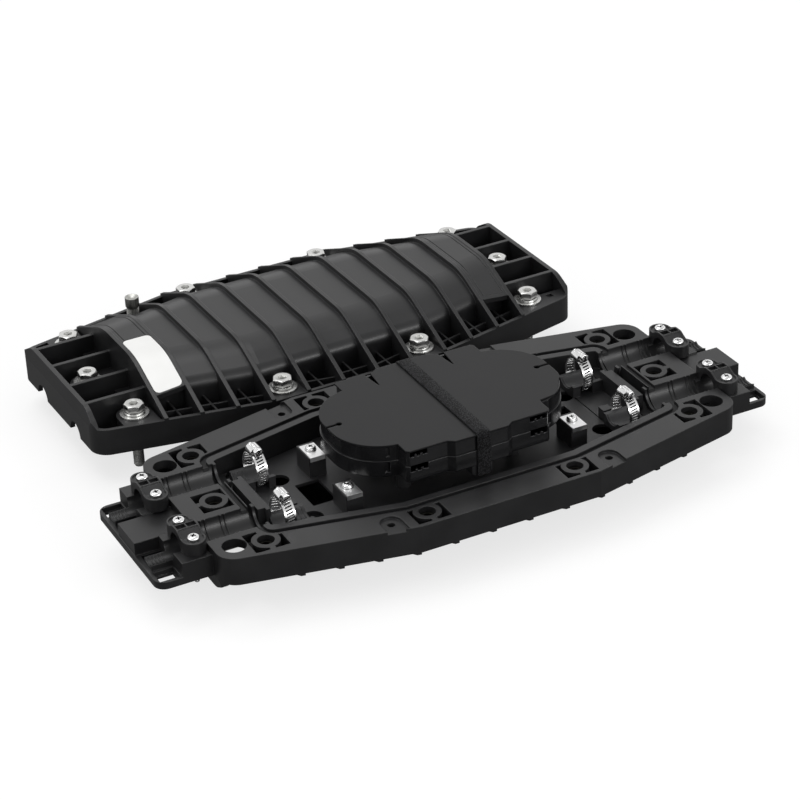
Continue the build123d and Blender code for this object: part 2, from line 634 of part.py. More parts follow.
def saddle_cap():
    """Arched obround cap with a raised border, two screw pads and two small pockets."""
    plan = SlotOverall(SADDLE_LENGTH, SADDLE_WIDTH, rotation=90)
    cap = extrude(Plane.YZ * cap_profile(0), SADDLE_WIDTH / 2, both=True)
    cap &= prism(plan, (BLOCK_TOP, SADDLE_CROWN_TOP))
    inner = SlotOverall(SADDLE_LENGTH - 2 * SADDLE_BORDER, SADDLE_WIDTH - 2 * SADDLE_BORDER, rotation=90)
    recess = prism(inner, (BLOCK_TOP, SADDLE_CROWN_TOP))
    recess -= extrude(Plane.YZ * cap_profile(SADDLE_RECESS), SADDLE_WIDTH, both=True)
    bridge = SADDLE_POCKET_HALF + SADDLE_RIB
    width = SADDLE_WIDTH / 2
    recess -= block((-width, width), (-bridge, bridge), (BLOCK_TOP, SADDLE_CROWN_TOP))
    cap -= recess
    pocket_z = (SADDLE_CROWN_TOP - SADDLE_POCKET_DEPTH, SADDLE_CROWN_TOP)
    for a in ENDS:
        pocket_x = sorted((a * SADDLE_RIB / 2, a * (width - SADDLE_BORDER)))
        cap -= block(pocket_x, (-SADDLE_POCKET_HALF, SADDLE_POCKET_HALF), pocket_z)
    cap -= rod_x(TROUGH_RADIUS, (-width, width), 0, BLOCK_TOP)
    for b in ENDS:
        y = b * SADDLE_SCREW_PITCH / 2
        cap -= post(SADDLE_SCREW_DIAMETER / 2 + SCREW_CLEARANCE, 0, y, (BLOCK_TOP, SADDLE_PAD_TOP))
        head_z = (SADDLE_PAD_TOP - SADDLE_RECESS, SADDLE_CROWN_TOP)
        cap -= post(SADDLE_SCREW_HEAD[0] + SADDLE_HEAD_CLEARANCE, 0, y, head_z)
    return cap


def pan_screw(diameter, length, head):
    """Pan head screw, underside of its head on z = 0."""
    head_radius, head_height = head
    cap = Pos(0, 0, head_height / 2) * Cylinder(head_radius, head_height)
    cap = chamfer(cap.edges().sort_by(Axis.Z)[-1], head_height * 0.45)
    return cap + Pos(0, 0, -length / 2) * Cylinder(diameter / 2, length)


def saddle_screws():
    screw = pan_screw(SADDLE_SCREW_DIAMETER, SADDLE_SCREW_LENGTH, SADDLE_SCREW_HEAD)
    seat = SADDLE_PAD_TOP - SADDLE_RECESS
    group = []
    for a, b in QUARTERS:
        for side in ENDS:
            y = b * CABLE_Y + side * SADDLE_SCREW_PITCH / 2
            group.append(Pos(a * SADDLE_X, y, seat) * screw)
    return Compound(children=group)


# Carrier plate and the clamps on it

def carrier_plate():
    """Inner plate with windows, clamp cradles, strength member blocks and end bars."""
    plate_z = (-LEDGE_DEPTH, CARRIER_TOP)
    plate = prism(plan_outline(MOUTH_INSET + CARRIER_CLEARANCE, CARRIER_END, CARRIER_CORNER), plate_z)
    window_y = (-CARRIER_WINDOW_HALF, CARRIER_WINDOW_HALF)
    for a in ENDS:
        plate -= block(sorted((a * CARRIER_WINDOW_X[0], a * CARRIER_WINDOW_X[1])), window_y, plate_z)
        bar_x = sorted((a * BAR_SPAN[0], a * BAR_SPAN[1]))
        bar = block(bar_x, (-BAR_HALF, BAR_HALF), (-BASIN_DEPTH, BAR_TOP))
        foot_x = sorted((a * BAR_SPAN[0], a * CARRIER_END))
        plate += bar + block(foot_x, (-BAR_HALF, BAR_HALF), (CARRIER_TOP, -BASIN_DEPTH))
        strip_width, strip_half = BAR_STRIP
        strip_x = sorted((a * BAR_SPAN[0], a * (BAR_SPAN[0] + strip_width)))
        plate += block(strip_x, (-strip_half, strip_half), (-BASIN_DEPTH, BAR_TOP))
        line_x, line_width, line_depth, line_half = FLOOR_LINE
        line = sorted((a * line_x, a * (line_x + line_width)))
        plate -= block(line, (-line_half, line_half), (CARRIER_TOP - line_depth, CARRIER_TOP))
        block_x, block_y, block_top = FLOOR_BLOCK
        plate += block(sorted((a * block_x[0], a * block_x[1])), block_y, (CARRIER_TOP, block_top))
    for a, b in QUARTERS:
        plate -= post(CARRIER_HOLE_DIAMETER / 2, a * CARRIER_HOLE[0], b * CARRIER_HOLE[1], plate_z)
        window_x = sorted((a * SIDE_WINDOW_X[0], a * SIDE_WINDOW_X[1]))
        plate -= block(window_x, sorted((b * SIDE_WINDOW_Y[0], b * SIDE_WINDOW_Y[1])), plate_z)
        x, y = a * MEMBER_BLOCK[0], b * MEMBER_BLOCK[1]
        half_x, half_y = MEMBER_BLOCK_SIZE[0] / 2, MEMBER_BLOCK_SIZE[1] / 2
        plate += block((x - half_x, x + half_x), (y - half_y, y + half_y), (CARRIER_TOP, MEMBER_BLOCK_TOP))
        thread = post(MEMBER_SCREW_DIAMETER / 2 + SCREW_CLEARANCE, x, y,
                      (MEMBER_BLOCK_TOP - MEMBER_SCREW_LENGTH, MEMBER_BLOCK_TOP))
        plate -= thread
    for (x, y), (a, b) in zip(clamp_places(), QUARTERS):
        plate += cradle(abs(x), y, a)
    return plate


def cradle(station, y, a):
    """Ridged cable cradle inside a hose clamp, on legs either side of its band."""
    outer = CLAMP_RADIUS - CLAMP_BAND - CRADLE_GAP
    bore = outer - CRADLE_WALL
    pitch, ridge_width, ridge_height = CRADLE_RIDGE
    span = sorted((a * CRADLE_SPAN[0], a * CRADLE_SPAN[1]))
    shape = rod_x(outer, span, y, CLAMP_AXIS_Z)
    leg_y = (y - CRADLE_LEG_HALF, y + CRADLE_LEG_HALF)
    reach = CLAMP_WIDTH / 2 + CRADLE_LEG_GAP
    legs = ((CRADLE_SPAN[0], station - reach), (station + reach, CRADLE_SPAN[1]))
    for low, high in legs:
        shape += block(sorted((a * low, a * high)), leg_y, (CARRIER_TOP, CLAMP_AXIS_Z))
    shape -= rod_x(bore, span, y, CLAMP_AXIS_Z)
    for low, high in legs:
        for i in range(int((high - low) / pitch)):
            x = a * (low + pitch / 2 + i * pitch)
            ridge = (x - ridge_width / 2, x + ridge_width / 2)
            ring = rod_x(bore + CRADLE_WALL / 2, ridge, y, CLAMP_AXIS_Z)
            shape += ring - rod_x(bore - ridge_height, ridge, y, CLAMP_AXIS_Z)
    return shape & block(span, (y - outer, y + outer), (CARRIER_TOP, CRADLE_TOP))


def clamp_places():
    return [(a * x, b * CABLE_Y) for x, (a, b) in zip(CLAMP_STATIONS, QUARTERS)]


def clamp_band(x, y):
    """Band of a hose clamp, closed round the cable's axis."""
    span = (x - CLAMP_WIDTH / 2, x + CLAMP_WIDTH / 2)
    ring = rod_x(CLAMP_RADIUS, span, y, CLAMP_AXIS_Z)
    return ring - rod_x(CLAMP_RADIUS - CLAMP_BAND, span, y, CLAMP_AXIS_Z)


def clamp_housing(x, y):
    """Worm housing that sits on the band's crown, bored for the worm screw."""
    width, depth, height = CLAMP_HOUSING
    foot = CLAMP_AXIS_Z + CLAMP_RADIUS - CLAMP_HOUSING_SINK
    body = block((x - width / 2, x + width / 2), (y - depth / 2, y + depth / 2), (foot, foot + height))
    top_edges = body.edges().filter_by(Axis.Y).sort_by(Axis.Z)[-2:]
    body = fillet(top_edges, CLAMP_HOUSING_RADIUS)
    body -= rod_x(CLAMP_RADIUS, (x - width, x + width), y, CLAMP_AXIS_Z)
    bore = Cylinder(CLAMP_SCREW_RADIUS + SCREW_CLEARANCE, depth * 2)
    return body - Pos(x, y, clamp_screw_z()) * Rot(90, 0, 0) * bore


def clamp_screw_z():
    return CLAMP_AXIS_Z + CLAMP_RADIUS + CLAMP_SCREW_RADIUS + CLAMP_SCREW_RISE


def clamp_screws():
    """Worm screws, each with a hexagon head towards the viewer's side."""
    worm = Cylinder(CLAMP_SCREW_RADIUS, CLAMP_SCREW_LENGTH)
    head = extrude(RegularPolygon(CLAMP_HEX / 2, 6, major_radius=False), CLAMP_HEX_LENGTH)
    screw = worm + Pos(0, 0, CLAMP_SCREW_LENGTH / 2) * head
    group = []
    for x, y in clamp_places():
        group.append(Pos(x, y + CLAMP_SCREW_OFFSET, clamp_screw_z()) * Rot(90, 0, 0) * screw)
    return Compound(children=group)


def member_plate(x, y):
    """Folded metal plate over a strength member block, its lip turned down."""
    half_x, half_y = MEMBER_BLOCK_SIZE[0] / 2, MEMBER_BLOCK_SIZE[1] / 2
    top = MEMBER_BLOCK_TOP + MEMBER_PLATE_THICKNESS
    side_margin, back_margin = MEMBER_PLATE_MARGIN
    x_span = (x - half_x + side_margin, x + half_x - side_margin)
    front = y - half_y - MEMBER_PLATE_THICKNESS
    plate = block(x_span, (front, y + half_y - back_margin), (MEMBER_BLOCK_TOP, top))
    plate += block(x_span, (front, y - half_y), (top - MEMBER_LIP, top))
    hole = MEMBER_SCREW_DIAMETER / 2 + SCREW_CLEARANCE
    return plate - post(hole, x, y, (MEMBER_BLOCK_TOP, top))


def member_screws():
    screw = pan_screw(MEMBER_SCREW_DIAMETER, MEMBER_SCREW_LENGTH, MEMBER_SCREW_HEAD)
    top = MEMBER_BLOCK_TOP + MEMBER_PLATE_THICKNESS
    group = [Pos(a * MEMBER_BLOCK[0], b * MEMBER_BLOCK[1], top) * screw for a, b in QUARTERS]
    return Compound(children=group)


# Splice trays, support and strap

def tray_plan():
    """Tray outline: two round ends, a wider middle and a waist for the strap."""
    plan = RectangleRounded(2 * TRAY_HALF_LENGTH, 2 * TRAY_HALF_WIDTH, TRAY_END_RADIUS)
    body = Rectangle(2 * TRAY_BODY_HALF, 2 * TRAY_BODY_WIDTH)
    plan += chamfer(body.vertices(), TRAY_BODY_CHAMFER)
    for b in ENDS:
        foot = TRAY_WAIST_HALF + TRAY_WAIST_RAMP
        waist = [(-foot, 0), (-foot, TRAY_BODY_WIDTH), (-TRAY_WAIST_HALF, TRAY_WAIST_WIDTH),
                 (TRAY_WAIST_HALF, TRAY_WAIST_WIDTH), (foot, TRAY_BODY_WIDTH), (foot, 0)]
        plan += make_face(Polyline(*[(x, b * y) for x, y in waist], close=True))
    return plan


def tray(bottom, top, inset):
    """Open splice tray with fibre hubs, entry windows and a snap slot at each end."""
    plan = offset(tray_plan(), -inset, kind=Kind.INTERSECTION) if inset else tray_plan()
    inner = offset(plan, -TRAY_WALL, kind=Kind.INTERSECTION)
    body = prism(plan, (bottom, top)) - prism(inner, (bottom + TRAY_FLOOR, top))
    hub_x, hub_radius = TRAY_HUB
    low, high, window_height = TRAY_WINDOW
    tooth_width, tooth_height = TRAY_TOOTH
    wall_y = (TRAY_BODY_WIDTH - inset - TRAY_WALL, TRAY_BODY_WIDTH - inset)
    for a in ENDS:
        hub_z = (bottom + TRAY_FLOOR / 2, top - TRAY_HUB_DROP)
        hub = post(hub_radius, a * hub_x, 0, hub_z) - post(hub_radius - TRAY_WALL, a * hub_x, 0, hub_z)
        body += hub - block((-hub_x, hub_x), (-TRAY_HUB_GAP, TRAY_HUB_GAP), hub_z)
        for b in ENDS:
            y_span = sorted((b * wall_y[0], b * wall_y[1]))
            sill = top - window_height
            body -= block(sorted((a * low, a * high)), y_span, (sill, top))
            for x in (low + (high - low) / 3, high - (high - low) / 3):
                tooth_x = (a * x - tooth_width / 2, a * x + tooth_width / 2)
                body += block(tooth_x, y_span, (sill, sill + tooth_height))
            slot_x = sorted(a * x for x in TRAY_SNAP_SLOT)
            slot_y = sorted((b * (TRAY_HALF_WIDTH - 2 * TRAY_WALL), b * (TRAY_HALF_WIDTH + 1)))
            body -= block(slot_x, slot_y, (bottom + TRAY_SNAP_MARGIN[0], top - TRAY_SNAP_MARGIN[1]))
    return body


def tray_lid():
    """Flat lid with two slits that let its far corners flex, and a cut-back corner."""
    plan = tray_plan()
    far_half, near_half = [width / 2 for width in LID_SLIT_WIDTHS]
    inset, notch_y, notch_length, notch_width = LID_NOTCH
    edge = TRAY_WAIST_WIDTH + 1
    for a in ENDS:
        x = a * LID_SLIT_X
        slit = Polyline((x - far_half, edge), (x + far_half, edge), (x + near_half, LID_SLIT_END),
                        (x - near_half, LID_SLIT_END), close=True)
        plan -= make_face(slit)
        notch_x = TRAY_HALF_LENGTH - inset
        plan -= Pos(a * notch_x, notch_y) * SlotOverall(notch_length, notch_width)
        plan -= Pos(a * (notch_x - notch_length / 2), notch_y) * Circle(LID_NOTCH_BULB)
    plan -= make_face(Polyline(*LID_CUT, close=True))
    return prism(plan, (LID_TOP - LID_THICKNESS, LID_TOP))


def splice_holder(bottom):
    """Comb that grips the splice sleeves, on the floor of a tray."""
    width, length = HOLDER_SIZE
    rib, height = HOLDER_RIB
    floor = bottom + TRAY_FLOOR
    x_span = (-width / 2, width / 2)
    comb = block(x_span, (-length / 2, length / 2), (floor, floor + rib))
    pitch = (length - rib) / (HOLDER_RIBS - 1)
    for i in range(HOLDER_RIBS):
        y = (rib - length) / 2 + i * pitch
        comb += block(x_span, (y - rib / 2, y + rib / 2), (floor, floor + height))
    return comb


def tray_support():
    """Stand under the trays: four posts, a plate and the bar that the strap passes."""
    length, width, thickness = SUPPORT_PLATE
    post_x, post_y, radius = SUPPORT_POST
    plate_z = (TRAY_BOTTOM - thickness, TRAY_BOTTOM)
    stand = prism(RectangleRounded(length, width, SUPPORT_CORNER), plate_z)
    for a, b in QUARTERS:
        stand += post(radius, a * post_x, b * post_y, (CARRIER_TOP, TRAY_BOTTOM - thickness))
    bar_x, bar_y = STRAP_BAR
    stand += block((-bar_x / 2, bar_x / 2), (-bar_y / 2, bar_y / 2), (STRAP_BAR_BOTTOM, TRAY_BOTTOM))
    return stand


def tray_strap():
    """Hook and loop strap round the trays and the bar under them."""
    reach = TRAY_WAIST_WIDTH + STRAP_GAP
    low = STRAP_BAR_BOTTOM - STRAP_GAP
    high = LID_TOP + STRAP_GAP
    middle = (low + high) / 2
    outer = Rectangle(2 * (reach + STRAP_THICKNESS), high - low + 2 * STRAP_THICKNESS)
    outer = Pos(0, middle) * fillet(outer.vertices(), STRAP_BEND)
    inner = Pos(0, middle) * Rectangle(2 * reach, high - low)
    loop = extrude(Plane.YZ * (outer - inner), STRAP_WIDTH / 2, both=True)
    return Pos(STRAP_X, 0, 0) * loop


# Cover half and what it carries, in the cover's own place

def cover_shell():
    """Cover half with its webs, end panels, corner shelf, bolt holes and valve seat."""
    shell = ribbed_shell(PORT_RADIUS)
    for web in end_webs() + cross_webs():
        shell += web
    panels, line = end_panels()
    shell += panels
    shell -= line
    shelf_y = (-side_y(SHELF_X[0]), SHELF_Y)
    shelf = block(SHELF_X, shelf_y, (RIM_HEIGHT - SHELF_THICKNESS, RIM_HEIGHT))
    x, y, size, depth = SHELF_RECESS
    shelf -= Pos(x, y, RIM_HEIGHT) * Box(size, size, 2 * depth)
    shell += shelf & prism(plan_outline(0, HALF_LENGTH, CORNER_RADIUS), (0, RIM_HEIGHT))
    hole = BOLT_DIAMETER / 2 + BOLT_CLEARANCE
    for x, y, _ in bosses():
        shell -= post(hole, x, y, (0, RIM_HEIGHT))
    x, y = VALVE
    shell += post(VALVE_NUT[0] / 2 + VALVE_SEAT_MARGIN, x, y, (0, VALVE_SEAT))
    shell -= post(VALVE_HOLE / 2, x, y, (0, RIM_HEIGHT))
    return shell


def cover_label():
    """Plain label stuck on the left panel, from near the crest down its near flank."""
    width, length = LABEL_X[1] - LABEL_X[0], LABEL_Y[1] - LABEL_Y[0]
    plan = Pos(sum(LABEL_X) / 2, sum(LABEL_Y) / 2) * RectangleRounded(width, length, LABEL_CORNER)
    skin = roofed(0, PANEL_DROP - LABEL_THICKNESS, 0, CREST_RADIUS) & prism(plan, (RIM_HEIGHT, SHELL_DEPTH))
    return skin - roofed(0, PANEL_DROP, 0, CREST_RADIUS)


def hexagon_bolt():
    """Hexagon head bolt with a key socket, underside of its head on z = 0."""
    flats = RegularPolygon(BOLT_HEAD_FLATS / 2, 6, major_radius=False)
    head = extrude(flats, BOLT_HEAD_HEIGHT)
    reach = BOLT_HEAD_FLATS / 2 + BOLT_HEAD_HEIGHT - BOLT_HEAD_CHAMFER
    tip = BOLT_HEAD_FLATS / 2 - BOLT_HEAD_CHAMFER
    head &= Pos(0, 0, BOLT_HEAD_HEIGHT / 2) * Cone(reach, tip, BOLT_HEAD_HEIGHT)
    socket = extrude(RegularPolygon(BOLT_SOCKET / 2, 6, major_radius=False), BOLT_SOCKET_DEPTH)
    head -= Pos(0, 0, BOLT_HEAD_HEIGHT - BOLT_SOCKET_DEPTH) * socket
    return head + Pos(0, 0, -BOLT_LENGTH / 2) * Cylinder(BOLT_DIAMETER / 2, BOLT_LENGTH)


def on_bolts(shape, height):
    """One copy of a fastener at each of the cover's bolts."""
    return Compound(children=[Pos(x, y, RIM_HEIGHT + height) * shape for x, y, _ in bosses()])


def washer(diameter, thickness):
    return post(diameter / 2, 0, 0, (0, thickness)) - post(WASHER_BORE / 2, 0, 0, (0, thickness))


def valve_body():
    """Threaded valve stem through the cover's flange, with a head inside."""
    x, y = VALVE
    stem = post(VALVE_HOLE / 2, x, y, (0, VALVE_SEAT))
    return stem + post(VALVE_BODY_RADIUS, x, y, (VALVE_SEAT, RIM_HEIGHT + VALVE_BODY_TOP))


def valve_nut():
    x, y = VALVE
    across, height = VALVE_NUT
    flats = RegularPolygon(across / 2, 6, major_radius=False, rotation=30)
    nut = Pos(x, y, VALVE_SEAT) * extrude(flats, height)
    return nut - post(VALVE_BODY_RADIUS, x, y, (VALVE_SEAT, VALVE_SEAT + height))


def valve_cap():
    x, y = VALVE
    foot = RIM_HEIGHT + VALVE_BODY_TOP
    cap = post(VALVE_CAP_RADIUS, x, y, (foot, foot + VALVE_CAP_HEIGHT))
    return chamfer(cap.edges().sort_by(Axis.Z)[-1], 0.8)


def in_cover(shape):
    """Move a piece from the cover's own frame to where the cover stands."""
    x, y = COVER_PLACE
    return Pos(x, y, SEAT_Z - RIM_HEIGHT) * Rot(0, 0, COVER_TURN) * shape


def main():
    os.makedirs("parts", exist_ok=True)
    save("base_shell", base_shell())
    save("threaded_inserts", threaded_inserts())
    save("perimeter_seal", perimeter_seal())
    save("carrier_plate", carrier_plate())
    cap = saddle_cap()
    for number, (a, b) in enumerate(QUARTERS, 1):
        save(f"saddle_cap_{number}", Pos(a * SADDLE_X, b * CABLE_Y, 0) * cap)
    save("saddle_screws", saddle_screws())
    for number, (x, y) in enumerate(clamp_places(), 1):
        save(f"hose_clamp_band_{number}", clamp_band(x, y))
        save(f"hose_clamp_housing_{number}", clamp_housing(x, y))
    save("hose_clamp_screws", clamp_screws())
    for number, (a, b) in enumerate(QUARTERS, 1):
        save(f"member_clamp_plate_{number}", member_plate(a * MEMBER_BLOCK[0], b * MEMBER_BLOCK[1]))
    save("member_clamp_screws", member_screws())
    save("tray_support", tray_support())
    save("lower_tray", tray(TRAY_BOTTOM, TRAY_BOTTOM + TRAY_HEIGHT, 0))
    save("upper_tray", tray(TRAY_BOTTOM + TRAY_HEIGHT, LID_TOP - LID_THICKNESS, UPPER_TRAY_INSET))
    save("lower_splice_holder", splice_holder(TRAY_BOTTOM))
    save("upper_splice_holder", splice_holder(TRAY_BOTTOM + TRAY_HEIGHT))
    save("tray_lid", tray_lid())
    save("tray_strap", tray_strap())
    save("cover_shell", in_cover(cover_shell()))
    save("cover_label", in_cover(cover_label()))
    save("plain_washers", in_cover(on_bolts(washer(PLAIN_WASHER_DIAMETER, PLAIN_WASHER_THICKNESS), 0)))
    lock = washer(LOCK_WASHER_DIAMETER, LOCK_WASHER_THICKNESS)
    save("lock_washers", in_cover(on_bolts(lock, PLAIN_WASHER_THICKNESS)))
    save("cover_bolts", in_cover(on_bolts(hexagon_bolt(), WASHER_STACK)))
    save("valve_body", in_cover(valve_body()))
    save("valve_nut", in_cover(valve_nut()))
    save("valve_cap", in_cover(valve_cap()))


main()
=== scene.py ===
from math import atan2, cos, pi, radians, tan

import bpy
from mathutils import Matrix, Vector


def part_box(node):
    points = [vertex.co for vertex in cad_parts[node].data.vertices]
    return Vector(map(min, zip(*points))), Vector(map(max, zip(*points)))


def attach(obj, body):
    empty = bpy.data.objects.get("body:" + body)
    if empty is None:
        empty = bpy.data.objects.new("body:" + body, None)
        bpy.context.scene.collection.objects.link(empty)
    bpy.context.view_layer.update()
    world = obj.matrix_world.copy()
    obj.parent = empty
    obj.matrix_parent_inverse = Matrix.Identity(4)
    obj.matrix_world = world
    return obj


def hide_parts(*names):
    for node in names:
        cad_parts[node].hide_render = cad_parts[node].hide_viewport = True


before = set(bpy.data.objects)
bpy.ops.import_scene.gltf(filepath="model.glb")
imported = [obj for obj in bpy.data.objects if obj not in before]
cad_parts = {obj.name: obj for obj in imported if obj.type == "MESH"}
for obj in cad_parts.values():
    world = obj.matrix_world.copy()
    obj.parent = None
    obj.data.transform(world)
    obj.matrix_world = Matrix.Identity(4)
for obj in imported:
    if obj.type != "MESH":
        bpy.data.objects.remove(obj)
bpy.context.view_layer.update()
bpy.ops.object.select_all(action="DESELECT")


# Camera. It looks down on the open closure from the near side of the base, a little to
# the left, with a long lens, as the photograph was taken.
CAMERA_PLACE = Vector((-0.6884, -1.3328, 0.8770))
CAMERA_RIGHT = Vector((0.8871084, -0.4601657, -0.03586376))
CAMERA_DOWN = Vector((-0.25478991, -0.42342943, -0.86936162))
CAMERA_LENS = 113.91
CAMERA_SENSOR = 36
CAMERA_RANGE = (0.1, 40)

camera_data = bpy.data.cameras.new("studio_camera")
camera_data.sensor_width = CAMERA_SENSOR
camera_data.lens = CAMERA_LENS
camera_data.clip_start, camera_data.clip_end = CAMERA_RANGE
camera = bpy.data.objects.new("studio_camera", camera_data)
axes = Matrix((CAMERA_RIGHT, -CAMERA_DOWN, CAMERA_RIGHT.cross(-CAMERA_DOWN))).transposed()
camera.matrix_world = Matrix.Translation(CAMERA_PLACE) @ axes.to_4x4()
bpy.context.scene.collection.objects.link(camera)
bpy.context.scene.camera = camera


# Floor and studio light. A white table in a white room. A long strip light behind the
# camera's right gives the dome its band of light, and a large soft box hangs overhead.
TABLE_TOP = -0.0458
TABLE_SIZE = 14
TABLE_WHITE = "F4F4F4"
TABLE_SHADE = "6A6A6A"
TABLE_GLOW = 0.66
TABLE_GLOW_MIRRORED = 0.06
TABLE_LIGHT = 1.08
ROOM_FILL = 0.6
WALL_BRIGHT = 1.0
CEILING_BRIGHT = 0.6
WALL_ENDS, CEILING_STARTS = 0.3, 0.95
SOFT_BOXES = (
    # name, place, aim, size, power
    ("overhead_box", (-0.4, 0.9, 2.6), (0.0, 0.1, 0.0), (2.2, 1.4), 26),
    ("front_strip", (1.1, -2.6, 1.15), (0.0, 0.1, 0.0), (2.6, 0.42), 30),
    ("left_box", (-2.4, 0.2, 1.3), (0.0, 0.1, 0.0), (1.2, 0.8), 8),
)


def hex_colour(code):
    """Linear colour of an sRGB hex value."""
    parts = [int(code[i:i + 2], 16) / 255 for i in (0, 2, 4)]
    return [v / 12.92 if v <= 0.04045 else ((v + 0.055) / 1.055) ** 2.4 for v in parts] + [1.0]


def add(tree, kind, sockets=(), **settings):
    """Adds a shader node with its settings, its socket values and its links."""
    made = tree.nodes.new("ShaderNode" + kind)
    for name, value in settings.items():
        setattr(made, name, value)
    for name, value in dict(sockets).items():
        if isinstance(value, bpy.types.NodeSocket):
            tree.links.new(value, made.inputs[name])
        else:
            made.inputs[name].default_value = value
    return made


def looked_at(tree, rays):
    """1 for rays from the camera, straight or through something clear, and else 0."""
    straight, through = rays.outputs["Is Camera Ray"], rays.outputs["Is Transmission Ray"]
    return add(tree, "Math", {0: straight, 1: through}, operation="MAXIMUM").outputs[0]


scene = bpy.context.scene
scene.view_settings.view_transform = "Standard"
world = bpy.data.worlds.new("studio")
world.use_nodes = True
scene.world = world
tree = world.node_tree
rays = add(tree, "LightPath")
seen = looked_at(tree, rays)
height = add(tree, "SeparateXYZ", {0: add(tree, "TexCoord").outputs["Generated"]})
walls = add(tree, "MapRange", {0: height.outputs["Z"], 1: WALL_ENDS, 2: CEILING_STARTS,
                               3: WALL_BRIGHT, 4: CEILING_BRIGHT})
glossy = add(tree, "Mix", {0: rays.outputs["Is Glossy Ray"], 2: ROOM_FILL, 3: walls.outputs[0]})
strength = add(tree, "Mix", {0: seen, 2: glossy.outputs[0], 3: 1.0})
background = tree.nodes["Background"]
background.inputs["Color"].default_value = (1, 1, 1, 1)
tree.links.new(strength.outputs[0], background.inputs["Strength"])

bpy.ops.mesh.primitive_plane_add(size=TABLE_SIZE, location=(0, 0, TABLE_TOP))
table_top = bpy.context.object
table_top.name = "table_top"
paper = bpy.data.materials.new("white_table")
paper.use_nodes = True
tree = paper.node_tree
rays = add(tree, "LightPath")
seen = looked_at(tree, rays)
direct = add(tree, "Math", {0: seen, 1: TABLE_GLOW}, operation="MULTIPLY")
mirrored = add(tree, "Math", {0: rays.outputs["Is Glossy Ray"], 1: TABLE_GLOW_MIRRORED},
               operation="MULTIPLY")
glow = add(tree, "Math", {0: direct.outputs[0], 1: mirrored.outputs[0]}, operation="MAXIMUM")
white = add(tree, "Mix", {0: seen, 6: hex_colour(TABLE_SHADE), 7: hex_colour(TABLE_WHITE)},
            data_type="RGBA")
matt = add(tree, "BsdfDiffuse", {"Color": white.outputs[2]})
lit = add(tree, "Emission", {"Color": (1, 1, 1, 1), "Strength": TABLE_LIGHT})
mixed = add(tree, "MixShader", {0: glow.outputs[0], 1: matt.outputs[0], 2: lit.outputs[0]})
tree.nodes.remove(tree.nodes["Principled BSDF"])
tree.links.new(mixed.outputs[0], tree.nodes["Material Output"].inputs["Surface"])
table_top.data.materials.append(paper)

for name, place, aim, size, power in SOFT_BOXES:
    light = bpy.data.lights.new(name, "AREA")
    light.shape = "RECTANGLE"
    light.size, light.size_y = size
    light.energy = power
    lamp = bpy.data.objects.new(name, light)
    lamp.location = place
    lamp.rotation_euler = (Vector(aim) - Vector(place)).to_track_quat("-Z", "Y").to_euler()
    scene.collection.objects.link(lamp)


# Shell halves. Injection moulded from black glass-filled polypropylene, each half in one
# piece with its flange, dome, ribs and bolt seats. The mould was spark eroded, so the skin
# has a fine satin grain, and the edges are slightly rounded and rubbed.
SHELL_BLACK = "171718"
SHELL_WEAR = "272728"
SHELL_EDGE = 0.0007
# The eroded grain is really about 0.1 mm. It is drawn coarser so that it shows.
GRAIN = 0.0006
GRAIN_STRENGTH = 0.25
CLOUD = 0.03
CLOUD_GLOSS = 0.06
RUB_STARTS, RUB_ENDS, RUB_MOST = 0.35, 0.75, 0.55
PLASTIC_IOR = 1.49


def moulded(name, colour, worn, roughness, grain_height, edge_radius, specular=0.5):
    """Moulded plastic: eroded grain, slow changes of gloss, rounded and rubbed edges."""
    material = bpy.data.materials.new(name)
    material.use_nodes = True
    tree = material.node_tree
    place = add(tree, "TexCoord").outputs["Object"]
    grain = add(tree, "TexNoise", {"Vector": place, "Scale": 1 / GRAIN, "Detail": 2.0})
    clouds = add(tree, "TexNoise", {"Vector": place, "Scale": 1 / CLOUD, "Detail": 3.0})
    edge = add(tree, "Bevel", {"Radius": edge_radius}, samples=6)
    bump = add(tree, "Bump", {"Height": grain.outputs["Fac"], "Strength": GRAIN_STRENGTH,
                              "Distance": grain_height, "Normal": edge.outputs[0]})
    gloss = add(tree, "MapRange", {0: clouds.outputs["Fac"],
                                   3: roughness - CLOUD_GLOSS, 4: roughness + CLOUD_GLOSS})
    rub = add(tree, "MapRange", {0: clouds.outputs["Fac"], 1: RUB_STARTS, 2: RUB_ENDS,
                                 3: 0.0, 4: RUB_MOST})
    tint = add(tree, "Mix", {0: rub.outputs[0], 6: hex_colour(colour), 7: hex_colour(worn)},
               data_type="RGBA")
    shader = tree.nodes["Principled BSDF"]
    tree.links.new(tint.outputs[2], shader.inputs["Base Color"])
    tree.links.new(gloss.outputs[0], shader.inputs["Roughness"])
    tree.links.new(bump.outputs[0], shader.inputs["Normal"])
    shader.inputs["IOR"].default_value = PLASTIC_IOR
    shader.inputs["Specular IOR Level"].default_value = specular
    return material


def paint(material, *names):
    """Gives CAD pieces a material."""
    for name in names:
        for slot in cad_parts[name].material_slots:
            slot.material = material


shell_polypropylene = moulded("moulded_polypropylene", SHELL_BLACK, SHELL_WEAR, roughness=0.37,
                              grain_height=0.00005, edge_radius=SHELL_EDGE)
paint(shell_polypropylene, "base_shell", "cover_shell")
paint(shell_polypropylene, *[f"saddle_cap_{i}" for i in (1, 2, 3, 4)])


# Carrier plate and tray support. The same kind of plastic, moulded thinner. It is a shade
# lighter and duller than the shells, and the splice holders are moulded from it too.
CARRIER_BLACK = "202021"
CARRIER_WEAR = "303032"
carrier_plastic = moulded("moulded_carrier_plastic", CARRIER_BLACK, CARRIER_WEAR, roughness=0.46,
                          grain_height=0.00004, edge_radius=0.0004)
paint(carrier_plastic, "carrier_plate", "tray_support", "lower_splice_holder", "upper_splice_holder")


